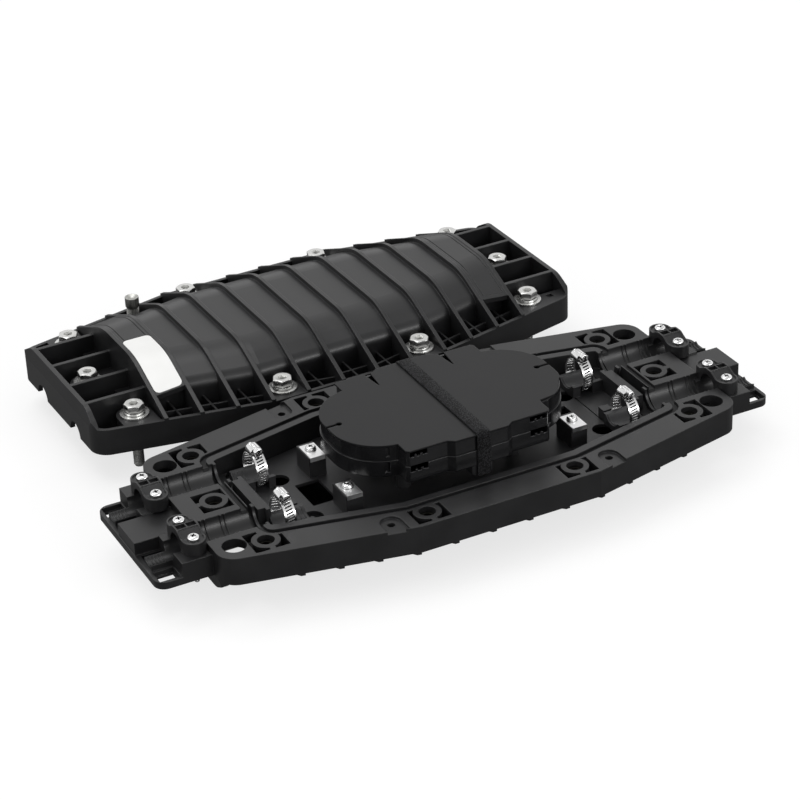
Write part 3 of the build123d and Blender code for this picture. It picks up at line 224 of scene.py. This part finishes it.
# Splice trays and lid. Black ABS. The trays come from a polished mould, smooth and a little
# glossy. The lid's flat face is finely matted, so it shows an even dark grey.
TRAY_BLACK = "161617"
TRAY_WEAR = "202022"
LID_BLACK = "171718"
LID_WEAR = "1C1C1D"
TRAY_EDGE = 0.0008
tray_abs = moulded("moulded_tray_abs", TRAY_BLACK, TRAY_WEAR, roughness=0.22,
                   grain_height=0.00001, edge_radius=TRAY_EDGE)
paint(tray_abs, "lower_tray", "upper_tray")
lid_abs = moulded("moulded_lid_abs", LID_BLACK, LID_WEAR, roughness=0.4,
                  grain_height=0.000004, edge_radius=TRAY_EDGE, specular=0.22)
paint(lid_abs, "tray_lid")


# Grip ridges. Five raised arcs across each tongue's outer cradle, moulded with the base,
# which bite into the cable's jacket. They follow the trough just proud of its skin.
RIDGE_FIRST = 0.2212
RIDGE_PITCH = 0.0024
RIDGE_WIDTH = 0.0011
RIDGE_HEIGHT = 0.0005
RIDGE_EDGE = 0.0002
RIDGES = 5
RIDGE_HALF_SPAN = 0.0057
TROUGH_RADIUS = 0.0085
TROUGH_AXIS = (0.0312, -0.0043)
TROUGH_SIDES = 64
SHARP = radians(35)


def alone(piece):
    """Makes a piece the only one selected, and the active one."""
    bpy.ops.object.select_all(action="DESELECT")
    piece.select_set(True)
    bpy.context.view_layer.objects.active = piece


def choose(piece, test, kind="FACE"):
    """Goes to edit mode with the faces, edges or corners selected that pass a test."""
    alone(piece)
    kinds = (kind == "VERT", kind == "EDGE", kind == "FACE")
    bpy.context.tool_settings.mesh_select_mode = kinds
    mesh = piece.data
    for group in (mesh.vertices, mesh.edges, mesh.polygons):
        group.foreach_set("select", [False] * len(group))
    if kind == "FACE":
        for face in mesh.polygons:
            face.select = test(face.center, face.normal)
    elif kind == "EDGE":
        for edge in mesh.edges:
            start, end = (mesh.vertices[i].co for i in edge.vertices)
            edge.select = test((start + end) / 2, (end - start).normalized())
    else:
        for corner in mesh.vertices:
            corner.select = test(corner.co, corner.normal)
    bpy.ops.object.mode_set(mode="EDIT")


def done():
    """Leaves edit mode."""
    bpy.ops.object.mode_set(mode="OBJECT")


def settle(piece, name, angle=30):
    """Applies a piece's place and shades it smooth up to an angle."""
    alone(piece)
    bpy.ops.object.transform_apply(location=True, rotation=True, scale=True)
    bpy.ops.object.shade_smooth_by_angle(angle=radians(angle))
    piece.name = name
    return piece


def soften(piece, width, segments=2):
    """Bevels the sharp edges of a piece."""
    modifier = piece.modifiers.new("soften", "BEVEL")
    modifier.width = width
    modifier.segments = segments
    modifier.limit_method = "ANGLE"
    modifier.angle_limit = SHARP
    alone(piece)
    bpy.ops.object.modifier_apply(modifier=modifier.name)


def set_out(piece, name, places, material, nodes=()):
    """Sets copies of a piece at their places, for one node together or a node each."""
    for number, place in enumerate(places):
        copy = bpy.data.objects.new(f"{name}_{number + 1}", piece.data.copy())
        copy.data.transform(place)
        copy.data.materials.clear()
        copy.data.materials.append(material)
        scene.collection.objects.link(copy)
        if nodes:
            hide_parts(nodes[min(number, len(nodes) - 1)])
        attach(copy, "root")
    bpy.data.objects.remove(piece)


bpy.ops.object.select_all(action="DESELECT")
bpy.ops.mesh.primitive_cylinder_add(vertices=TROUGH_SIDES, radius=TROUGH_RADIUS, depth=RIDGE_WIDTH,
                                    end_fill_type="NOTHING", location=(RIDGE_FIRST, 0, 0),
                                    rotation=(0, pi / 2, 0))
ridge = bpy.context.object
bpy.ops.object.transform_apply(location=True, rotation=True, scale=True)
choose(ridge, lambda place, normal: place.z > 0 or abs(place.y) > RIDGE_HALF_SPAN)
bpy.ops.mesh.delete(type="FACE")
done()
wall = ridge.modifiers.new("wall", "SOLIDIFY")
wall.thickness = RIDGE_HEIGHT
row = ridge.modifiers.new("row", "ARRAY")
row.count = RIDGES
row.use_relative_offset = False
row.use_constant_offset = True
row.constant_offset_displace = (RIDGE_PITCH, 0, 0)
alone(ridge)
bpy.ops.object.modifier_apply(modifier=wall.name)
bpy.ops.object.modifier_apply(modifier=row.name)
soften(ridge, RIDGE_EDGE)
settle(ridge, "ridge")
troughs = [Matrix.Translation((0, side * TROUGH_AXIS[0], TROUGH_AXIS[1])) @
           Matrix.Rotation(turn, 4, "Z") for turn in (0, pi) for side in (1, -1)]
set_out(ridge, "grip_ridges", troughs, shell_polypropylene)


# Seal and thread inserts. Rubber cord, dead matt, in the groove of the base, and brass
# bushes pressed into its bosses. The bores lie in shadow, and the brass is painted dark as that
# shade.
SEAL_BLACK = "121213"
SEAL_WEAR = "1A1A1B"
seal_rubber = moulded("seal_rubber", SEAL_BLACK, SEAL_WEAR, roughness=0.75,
                      grain_height=0.00003, edge_radius=0.0003)
paint(seal_rubber, "perimeter_seal")

# Painted shade: the brass colour is painted near black, as the shade in the bores.
INSERT_BRASS_PAINTED_SHADE = "2A2926"
SMEAR = 0.006
MARKS_STRENGTH = 0.35
METAL_EDGE = 0.00015
# Painted shade: recesses, gaps and the undersides of heads are painted darker this far out, where
# shade falls.
RECESS_PAINTED_SHADE = "161616"
PAINTED_SHADE_REACH = 0.0016
FULL_SHADE_BELOW, UNSHADED_ABOVE = 0.35, 0.85


def metal(name, colour, roughness, marks_depth, marks_length=0.001):
    """Bare or plated metal: fine marks, changes of gloss, soft edges and painted shade in corners."""
    material = bpy.data.materials.new(name)
    material.use_nodes = True
    tree = material.node_tree
    place = add(tree, "TexCoord").outputs["Object"]
    marks = add(tree, "TexNoise", {"Vector": place, "Scale": 1 / marks_length, "Detail": 3.0})
    smears = add(tree, "TexNoise", {"Vector": place, "Scale": 1 / SMEAR, "Detail": 2.0})
    edge = add(tree, "Bevel", {"Radius": METAL_EDGE}, samples=4)
    bump = add(tree, "Bump", {"Height": marks.outputs["Fac"], "Strength": MARKS_STRENGTH,
                              "Distance": marks_depth, "Normal": edge.outputs[0]})
    gloss = add(tree, "MapRange", {0: smears.outputs["Fac"], 1: 0.3, 2: 0.7,
                                   3: roughness - 0.06, 4: roughness + 0.1})
    # Painted shade: the base colour goes towards dark grey wherever ambient occlusion finds a recess
    # or corner.
    corner = add(tree, "AmbientOcclusion", {"Distance": PAINTED_SHADE_REACH}, samples=8)
    unshaded = add(tree, "MapRange", {0: corner.outputs["AO"], 1: FULL_SHADE_BELOW, 2: UNSHADED_ABOVE})
    tint = add(tree, "Mix", {0: unshaded.outputs[0], 6: hex_colour(RECESS_PAINTED_SHADE), 7: hex_colour(colour)},
               data_type="RGBA")
    shader = tree.nodes["Principled BSDF"]
    shader.inputs["Metallic"].default_value = 1.0
    tree.links.new(tint.outputs[2], shader.inputs["Base Color"])
    tree.links.new(gloss.outputs[0], shader.inputs["Roughness"])
    tree.links.new(bump.outputs[0], shader.inputs["Normal"])
    return material


insert_brass = metal("turned_brass_painted_shade", INSERT_BRASS_PAINTED_SHADE, roughness=0.5, marks_depth=0.00003)
paint(insert_brass, "threaded_inserts")


# Cover bolts. M8 x 45 hexagon bolts of stainless steel, cold headed with a key socket and
# a chamfered crown, with rolled threads. Heading leaves them clean, bright and faintly
# uneven. Each hangs in its boss hole with its washers.
BOLT_STEEL = "D8D8D6"
BOLT_FLATS = 0.013
BOLT_HEAD = 0.0056
BOLT_CHAMFER = 0.0003
BOLT_SLOPE = radians(30)
BOLT_EDGE = 0.00012
BOLT_REACH = 0.045
BOLT_CREST = 0.004
BOLT_CORE = 0.00342
BOLT_THREAD = 0.00052
BOLT_PITCH = 0.00125
BOLT_TIP = 0.0006
KEY_FLATS = 0.006
KEY_DEPTH = 0.0032
COVER_CENTRE = Vector((-0.0101, 0.2059, 0))
COVER_TURN = radians(1.18)
BOLT_PLACES = (
    (0.1614, 0.0612), (0.1614, -0.0612), (-0.1614, 0.0612), (-0.1614, -0.0612),
    (0.0559, 0.0836), (0.0559, -0.0836), (-0.0559, 0.0836), (-0.0559, -0.0836),
    (0.17125, 0), (-0.17125, 0),
)
BOLT_TURNS = (0.2, 0.9, 0.55, 0.1, 0.75, 0.4, 0.0, 0.62, 0.3, 0.95)


def prism(corners, radius, low, high):
    """Upright prism or round bar between two heights."""
    bpy.ops.object.select_all(action="DESELECT")
    bpy.ops.mesh.primitive_cylinder_add(vertices=corners, radius=radius, depth=high - low,
                                        location=(0, 0, (low + high) / 2))
    return bpy.context.object


def hexagon(flats, low, high):
    """Upright hexagonal bar of a width across its flats."""
    return prism(6, flats / 2 / cos(pi / 6), low, high)


def carve(piece, tool, operation="DIFFERENCE"):
    """Cuts a piece with another, or keeps what they share, and removes the other."""
    modifier = piece.modifiers.new("carve", "BOOLEAN")
    modifier.operation = operation
    modifier.object = tool
    alone(piece)
    bpy.ops.object.modifier_apply(modifier=modifier.name)
    bpy.data.objects.remove(tool)


def thread(crest, depth, pitch, low, high, steps=16):
    """Helical thread: a three-cornered ridge carried up a shank, closed at both ends."""
    bpy.ops.object.select_all(action="DESELECT")
    bpy.ops.mesh.primitive_circle_add(vertices=3, radius=depth, location=(crest - depth, 0, low),
                                      rotation=(pi / 2, pi / 2, 0))
    ridge = bpy.context.object
    bpy.ops.object.transform_apply(location=True, rotation=True, scale=True)
    screw = ridge.modifiers.new("helix", "SCREW")
    screw.screw_offset = pitch
    screw.iterations = round((high - low) / pitch)
    screw.steps = screw.render_steps = steps
    bpy.ops.object.modifier_apply(modifier=screw.name)
    bpy.ops.object.mode_set(mode="EDIT")
    bpy.ops.mesh.select_all(action="SELECT")
    bpy.ops.mesh.fill_holes(sides=3)
    bpy.ops.mesh.normals_make_consistent(inside=False)
    done()
    return ridge


def joined(*pieces):
    """Joins pieces into the first."""
    bpy.ops.object.select_all(action="DESELECT")
    for piece in pieces:
        piece.select_set(True)
    bpy.context.view_layer.objects.active = pieces[0]
    bpy.ops.object.join()
    return pieces[0]


stainless = metal("cold_headed_stainless", BOLT_STEEL, roughness=0.3, marks_depth=0.000004,
                  marks_length=0.0006)
head = hexagon(BOLT_FLATS, 0, BOLT_HEAD)
narrow = BOLT_FLATS / 2 - BOLT_CHAMFER
wide = narrow + BOLT_HEAD / tan(BOLT_SLOPE)
crown = prism(64, wide, 0, BOLT_HEAD)
choose(crown, lambda place, normal: normal.z > 0.9)
bpy.ops.transform.resize(value=(narrow / wide, narrow / wide, 1))
done()
carve(head, crown, "INTERSECT")
carve(head, hexagon(KEY_FLATS, BOLT_HEAD - KEY_DEPTH, BOLT_HEAD + 0.001))
soften(head, BOLT_EDGE)
shank = prism(32, BOLT_CORE, -BOLT_REACH, 0)
choose(shank, lambda place, normal: normal.z < -0.9)
bpy.ops.mesh.bevel(offset=BOLT_TIP, segments=2, affect="EDGES")
done()
bolt = joined(head, shank,
              thread(BOLT_CREST, BOLT_THREAD, BOLT_PITCH, -BOLT_REACH + 0.001, -0.0015))
settle(bolt, "bolt")
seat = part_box("lock_washers")[1][2]
cover = Matrix.Translation(COVER_CENTRE + Vector((0, 0, seat))) @ Matrix.Rotation(COVER_TURN, 4, "Z")
bosses = [cover @ Matrix.Translation((x, y, 0)) @ Matrix.Rotation(turn, 4, "Z")
          for (x, y), turn in zip(BOLT_PLACES, BOLT_TURNS)]
set_out(bolt, "cover_bolt", bosses, stainless, ["cover_bolts"])


# Washers. Stamped stainless washers with a spring washer on each, which is wound from
# square wire and ground. Both are tumbled after stamping, so they are smoother and
# brighter than the bolts.
WASHER_STEEL = "DCDCDA"
washer_steel = metal("stamped_stainless", WASHER_STEEL, roughness=0.24, marks_depth=0.000004,
                     marks_length=0.0005)
paint(washer_steel, "plain_washers", "lock_washers")


# Saddle screws. M4 pan head screws with a cross recess, bright zinc plated, so they shine
# white with soft grey marks. They hold the caps on the tongues and come out underneath.
ZINC_BRIGHT = "EEEEEE"
PAN_RADIUS = 0.0042
PAN_HEIGHT = 0.0031
PAN_RECESS = 0.0024
SADDLE_REACH = 0.032
SADDLE_CREST = 0.0019
SADDLE_CORE = 0.0016
SADDLE_THREAD = 0.0003
SADDLE_THREAD_PITCH = 0.0007
SADDLE_X = 0.204
SADDLE_PITCH = 0.024
CABLE_Y = 0.0312
# Shares of a pan head's height and radius: its dome, and the cross's arms.
DOME_SHARE = 0.62
CROSS_SPAN, CROSS_ARM = 1.36, 0.42
CROSS_TAPER = (0.3, 0.5, 1)


def pan_head(radius, height, recess):
    """Domed screw head with a cross recess whose arms taper inwards."""
    piece = prism(40, radius, 0, height)
    choose(piece, lambda place, normal: normal.z > 0.9)
    bpy.ops.mesh.bevel(offset=height * DOME_SHARE, segments=7, profile=0.5, affect="EDGES")
    done()
    for turn in (0, pi / 2):
        bpy.ops.object.select_all(action="DESELECT")
        bpy.ops.mesh.primitive_cube_add(
            size=1, location=(0, 0, height), rotation=(0, 0, turn),
            scale=(radius * CROSS_SPAN, radius * CROSS_ARM, recess * 2))
        arm = bpy.context.object
        bpy.ops.object.transform_apply(location=True, rotation=True, scale=True)
        choose(arm, lambda place, normal: normal.z < -0.9)
        bpy.ops.transform.resize(value=CROSS_TAPER, center_override=(0, 0, height - recess))
        done()
        carve(piece, arm)
    return piece


zinc = metal("bright_zinc_plate", ZINC_BRIGHT, roughness=0.16, marks_depth=0.000003,
             marks_length=0.0005)
shank = prism(20, SADDLE_CORE, -SADDLE_REACH, 0.0005)
screw = joined(pan_head(PAN_RADIUS, PAN_HEIGHT, PAN_RECESS), shank,
               thread(SADDLE_CREST, SADDLE_THREAD, SADDLE_THREAD_PITCH,
                      -SADDLE_REACH + 0.0006, -0.006, 10))
settle(screw, "screw")
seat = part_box("saddle_screws")[1][2] - PAN_HEIGHT + 0.0002
# Each screw is driven home to an angle of its own.
saddles = [Matrix.Translation((a * SADDLE_X, b * CABLE_Y + c * SADDLE_PITCH / 2, seat)) @
           Matrix.Rotation(0.35 + 0.5 * a + 0.3 * b + 0.2 * c, 4, "Z")
           for a in (1, -1) for b in (1, -1) for c in (1, -1)]
set_out(screw, "saddle_screw", saddles, zinc, ["saddle_screws"])


# Strength member clamps. A folded steel plate on each block of the carrier and a pan head
# screw through it, both zinc plated. The pressing is a little duller than the screws.
PLATE_ZINC = "ECECEC"
MEMBER_PLACE = (0.0865, 0.0283)
MEMBER_HEAD = (0.0037, 0.0027, 0.002)
MEMBER_SHANK = 0.0017
MEMBER_REACH = 0.008
pressed_zinc = metal("zinc_plated_pressing", PLATE_ZINC, roughness=0.34, marks_depth=0.000003,
                     marks_length=0.0005)
paint(pressed_zinc, *[f"member_clamp_plate_{i}" for i in (1, 2, 3, 4)])
screw = joined(pan_head(*MEMBER_HEAD), prism(20, MEMBER_SHANK, -MEMBER_REACH, 0.0005))
settle(screw, "screw")
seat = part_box("member_clamp_plate_1")[1][2]
blocks = [Matrix.Translation((a * MEMBER_PLACE[0], b * MEMBER_PLACE[1], seat)) @
          Matrix.Rotation(0.6 * a + b, 4, "Z") for a in (1, -1) for b in (1, -1)]
set_out(screw, "member_clamp_screw", blocks, zinc, ["member_clamp_screws"])


# Hose clamp bands. Rolled stainless strip with a row of slanting slots punched through it
# for the worm, closed into a ring. The rolls leave it almost as bright as a mirror.
STRIP_STEEL = "E6E6E6"
BAND_RADIUS = 0.013
CLAMP_AXIS = -0.004
BAND_WIDTH = 0.008
BAND_STRIP = 0.0008
SLOT_HALF = 0.0025
SLOT_SLANT = 0.04
SLOTS = 38
band_steel = metal("rolled_stainless_strip", STRIP_STEEL, roughness=0.18, marks_depth=0.000004,
                   marks_length=0.0006)
bpy.ops.object.select_all(action="DESELECT")
bpy.ops.mesh.primitive_cylinder_add(vertices=2 * SLOTS, radius=BAND_RADIUS, depth=BAND_WIDTH,
                                    end_fill_type="NOTHING", rotation=(0, pi / 2, 0))
band = bpy.context.object
bpy.ops.object.transform_apply(location=True, rotation=True, scale=True)
for side in (1, -1):
    choose(band, lambda place, normal: True)
    bpy.ops.mesh.bisect(plane_co=(side * SLOT_HALF, 0, 0), plane_no=(1, 0, 0))
    done()
    choose(band, lambda place, normal: abs(place.x - side * SLOT_HALF) < 1e-5, "VERT")
    bpy.ops.transform.rotate(value=side * SLOT_SLANT, orient_axis="X", center_override=(0, 0, 0))
    done()
wedge = pi / SLOTS
choose(band, lambda place, normal: abs(place.x) < SLOT_HALF / 2 and
       int(atan2(place.z, place.y) / wedge + 99.5) % 2)
bpy.ops.mesh.delete(type="FACE")
done()
strip = band.modifiers.new("strip", "SOLIDIFY")
strip.thickness = BAND_STRIP
alone(band)
bpy.ops.object.modifier_apply(modifier=strip.name)
settle(band, "band", 40)
clamps = ((0.128, CABLE_Y), (0.128, -CABLE_Y), (-0.127, CABLE_Y), (-0.1355, -CABLE_Y))
set_out(band, "hose_clamp_ring", [Matrix.Translation((x, y, CLAMP_AXIS)) for x, y in clamps],
        band_steel, [f"hose_clamp_band_{i}" for i in (1, 2, 3, 4)])


# Worm housings and worm screws. A pressed stainless saddle, open at both ends, sits on
# each ring's crown and holds a zinc plated screw with a slotted hexagon head.
HOUSING = (0.009, 0.009, 0.0046)
HOUSING_FOOT = 0.0084
HOUSING_ROUND = 0.0036
HOUSING_WALL = 0.0007
HOUSING_MOUTH = 0.62
HOUSING_RIM = 0.0012
HOUSING_DISH = 0.0004
HOUSING_EDGE = 0.00015
WORM_HEIGHT = 0.011
WORM_RADIUS = 0.0018
WORM_CORE = 0.0004
WORM_THREAD = 0.0005
WORM_PITCH = 0.0016
WORM_Y = (-0.0048, 0.0062)
HEX_FLATS = 0.0055
HEX_LENGTH = 0.0034
HEX_RIM = 0.0005
HEX_CROWN = 0.0003
HEX_EDGE = 0.0001
DRIVER_SLOT = (0.0009, 0.0052, 0.0024)
bpy.ops.object.select_all(action="DESELECT")
bpy.ops.mesh.primitive_cube_add(size=1, location=(0, 0, HOUSING_FOOT + HOUSING[2] / 2),
                                scale=HOUSING)
housing = bpy.context.object
bpy.ops.object.transform_apply(location=True, rotation=True, scale=True)
choose(housing, lambda place, way: abs(way.y) > 0.9 and place.z > HOUSING_FOOT + 0.001, "EDGE")
bpy.ops.mesh.bevel(offset=HOUSING_ROUND, segments=8, affect="EDGES")
done()
choose(housing, lambda place, normal: abs(normal.y) > 0.9)
bpy.ops.mesh.inset(thickness=HOUSING_WALL)
bpy.ops.transform.resize(value=(1, HOUSING_MOUTH, 1), center_override=(0, 0, 0))
done()
choose(housing, lambda place, normal: normal.z > 0.9)
bpy.ops.mesh.inset(thickness=HOUSING_RIM)
bpy.ops.transform.translate(value=(0, 0, -HOUSING_DISH))
done()
soften(housing, HOUSING_EDGE)
settle(housing, "housing")
set_out(housing, "worm_housing", [Matrix.Translation((x, y, 0)) for x, y in clamps],
        band_steel, [f"hose_clamp_housing_{i}" for i in (1, 2, 3, 4)])
head = hexagon(HEX_FLATS, -HEX_LENGTH, 0)
choose(head, lambda place, normal: normal.z < -0.9)
bpy.ops.mesh.inset(thickness=HEX_RIM)
bpy.ops.transform.translate(value=(0, 0, -HEX_CROWN))
done()
bpy.ops.object.select_all(action="DESELECT")
bpy.ops.mesh.primitive_cube_add(size=1, location=(0, 0, -HEX_LENGTH), scale=DRIVER_SLOT)
carve(head, bpy.context.object)
soften(head, HEX_EDGE)
worm_length = WORM_Y[1] - WORM_Y[0]
worm = joined(head, prism(24, WORM_RADIUS - WORM_CORE, 0, worm_length),
              thread(WORM_RADIUS, WORM_THREAD, WORM_PITCH, 0.0012, worm_length - 0.0006, 12))
settle(worm, "worm")
worms = [Matrix.Translation((x, y + WORM_Y[0], WORM_HEIGHT)) @ Matrix.Rotation(-pi / 2, 4, "X") @
         Matrix.Rotation(0.4 * n, 4, "Z") for n, (x, y) in enumerate(clamps)]
set_out(worm, "hose_clamp_worm", worms, zinc, ["hose_clamp_screws"])


# Test valve. A plated brass stem with a fine thread through the cover's flange, held by a
# nut, with a knurled cap that has a dished top. The nickel plate is soft grey and satin.
VALVE_PLATE = "B6B6B2"
VALVE_PLACE = (-0.1045, 0.072)
STEM_RADIUS = 0.0047
STEM_THREAD = 0.0005
STEM_PITCH = 0.001
STEM_NECK = 0.004
NECK_LENGTH = 0.0105
CAP_RADIUS = 0.00525
CAP_SIDES = 72
CAP_RIM = 0.002
CAP_DISH = (0.0009, 0.0007)
CAP_FLOOR = 0.0014
KNURL = 0.0002
KNURL_GAP = 0.00006
valve_brass = metal("plated_valve_brass", VALVE_PLATE, roughness=0.36, marks_depth=0.000006,
                    marks_length=0.0005)
valve_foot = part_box("valve_body")[0][2]
cap_low, cap_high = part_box("valve_cap")
stem_high = cap_low[2] + 0.0005
stem = joined(prism(32, STEM_RADIUS - STEM_THREAD, valve_foot + NECK_LENGTH, stem_high),
              prism(32, STEM_NECK, valve_foot, valve_foot + NECK_LENGTH),
              thread(STEM_RADIUS, STEM_THREAD, STEM_PITCH, valve_foot + 0.011, stem_high - 0.001, 24))
settle(stem, "stem")
upright = (Matrix.Translation(COVER_CENTRE) @ Matrix.Rotation(COVER_TURN, 4, "Z") @
           Matrix.Translation((*VALVE_PLACE, 0)))
set_out(stem, "valve_stem", [upright], valve_brass, ["valve_body"])
cap = prism(CAP_SIDES, CAP_RADIUS - KNURL, cap_low[2], cap_high[2])
choose(cap, lambda place, normal: normal.z > 0.9)
bpy.ops.mesh.inset(thickness=CAP_RIM)
bpy.ops.transform.translate(value=(0, 0, -CAP_DISH[0]))
bpy.ops.mesh.inset(thickness=CAP_FLOOR)
bpy.ops.transform.translate(value=(0, 0, -CAP_DISH[1]))
done()
choose(cap, lambda place, normal: abs(normal.z) < 0.1 and
       int(atan2(place.y, place.x) * 36 / pi + 99.5) % 2)
bpy.ops.mesh.inset(thickness=KNURL_GAP, use_individual=True)
bpy.ops.mesh.extrude_region_shrink_fatten(TRANSFORM_OT_shrink_fatten={"value": KNURL})
done()
settle(cap, "cap", 25)
set_out(cap, "valve_cap_knurled", [upright], valve_brass, ["valve_cap"])
paint(valve_brass, "valve_nut")


# Tray strap. Black hook and loop strap, woven nylon with a short pile that hides the weave
# and takes the light softly, drawn tight round the trays and the bar under them.
STRAP_WIDTH = 0.01
STRAP_SKIN = 0.0009
STRAP_CORNER = 0.0016
STRAP_EDGE = 0.0002
# The tufts are really about 0.4 mm apart. They are drawn twice as coarse so that they show.
PILE = 0.0008
PILE_HEIGHT = 0.0003
# Painted light and shade: each tuft is painted lighter at its tip and darker down at its root.
PILE_TIP_PAINTED_LIGHT = "3E3E40"
PILE_ROOT_PAINTED_SHADE = "060607"
PILE_SHEEN = 0.12
strap_low, strap_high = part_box("tray_strap")
middle = [(a + b) / 2 for a, b in zip(strap_low, strap_high)]
bpy.ops.object.select_all(action="DESELECT")
bpy.ops.mesh.primitive_plane_add(size=1, rotation=(0, pi / 2, 0), location=middle)
strap = bpy.context.object
bpy.ops.object.transform_apply(location=True, rotation=True, scale=True)
reach_y = strap_high[1] - strap_low[1] - 2 * STRAP_SKIN
reach_z = strap_high[2] - strap_low[2] - 2 * STRAP_SKIN
choose(strap, lambda place, normal: True)
bpy.ops.transform.resize(value=(1, reach_y, reach_z), center_override=middle)
bpy.ops.mesh.delete(type="ONLY_FACE")
done()
choose(strap, lambda place, normal: True, "VERT")
bpy.ops.mesh.bevel(offset=STRAP_CORNER, segments=5, affect="VERTICES")
done()
choose(strap, lambda place, way: True, "EDGE")
bpy.ops.mesh.subdivide(number_cuts=6)
bpy.ops.transform.translate(value=(-STRAP_WIDTH / 2, 0, 0))
bpy.ops.mesh.extrude_region_move(TRANSFORM_OT_translate={"value": (STRAP_WIDTH, 0, 0)})
bpy.ops.mesh.select_all(action="SELECT")
bpy.ops.mesh.normals_make_consistent(inside=False)
done()
strap_nylon = bpy.data.materials.new("hook_and_loop_nylon")
strap_nylon.use_nodes = True
tree = strap_nylon.node_tree
place = add(tree, "TexCoord").outputs["Object"]
tufts = add(tree, "TexVoronoi", {"Vector": place, "Scale": 1 / PILE, "Randomness": 1.0})
felt = add(tree, "TexNoise", {"Vector": place, "Scale": 1 / (12 * PILE), "Detail": 3.0})
worn = add(tree, "MapRange", {0: felt.outputs["Fac"], 1: 0.3, 2: 0.7, 3: 0.45, 4: 0.65})
# Painted light and shade that follow the pile's bump: tips lighter, roots darker.
tuft_light_and_shade = add(tree, "MapRange", {0: tufts.outputs["Distance"], 1: 0.1, 2: worn.outputs[0]})
tint = add(tree, "Mix", {0: tuft_light_and_shade.outputs[0], 6: hex_colour(PILE_TIP_PAINTED_LIGHT), 7: hex_colour(PILE_ROOT_PAINTED_SHADE)},
           data_type="RGBA")
bump = add(tree, "Bump", {"Height": tufts.outputs["Distance"], "Strength": 0.6,
                          "Distance": PILE_HEIGHT}, invert=True)
shader = tree.nodes["Principled BSDF"]
shader.inputs["Roughness"].default_value = 0.9
shader.inputs["Specular IOR Level"].default_value = 0.15
shader.inputs["Sheen Weight"].default_value = PILE_SHEEN
shader.inputs["Sheen Roughness"].default_value = 0.4
tree.links.new(tint.outputs[2], shader.inputs["Base Color"])
tree.links.new(bump.outputs[0], shader.inputs["Normal"])
skin = strap.modifiers.new("skin", "SOLIDIFY")
skin.thickness = STRAP_SKIN
skin.offset = 1
alone(strap)
bpy.ops.object.modifier_apply(modifier=skin.name)
soften(strap, STRAP_EDGE)
settle(strap, "tray_strap_woven")
strap.data.materials.append(strap_nylon)
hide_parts("tray_strap")
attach(strap, "root")


# Label. Thin white polyester film stuck on the cover's left panel, left plain. Its face is
# smooth with a slight sheen.
LABEL_WHITE = "F0F0EE"
LABEL_WEAR = "E6E6E4"
label_film = moulded("white_label_film", LABEL_WHITE, LABEL_WEAR, roughness=0.35,
                     grain_height=0.000005, edge_radius=0.0001)
paint(label_film, "cover_label")
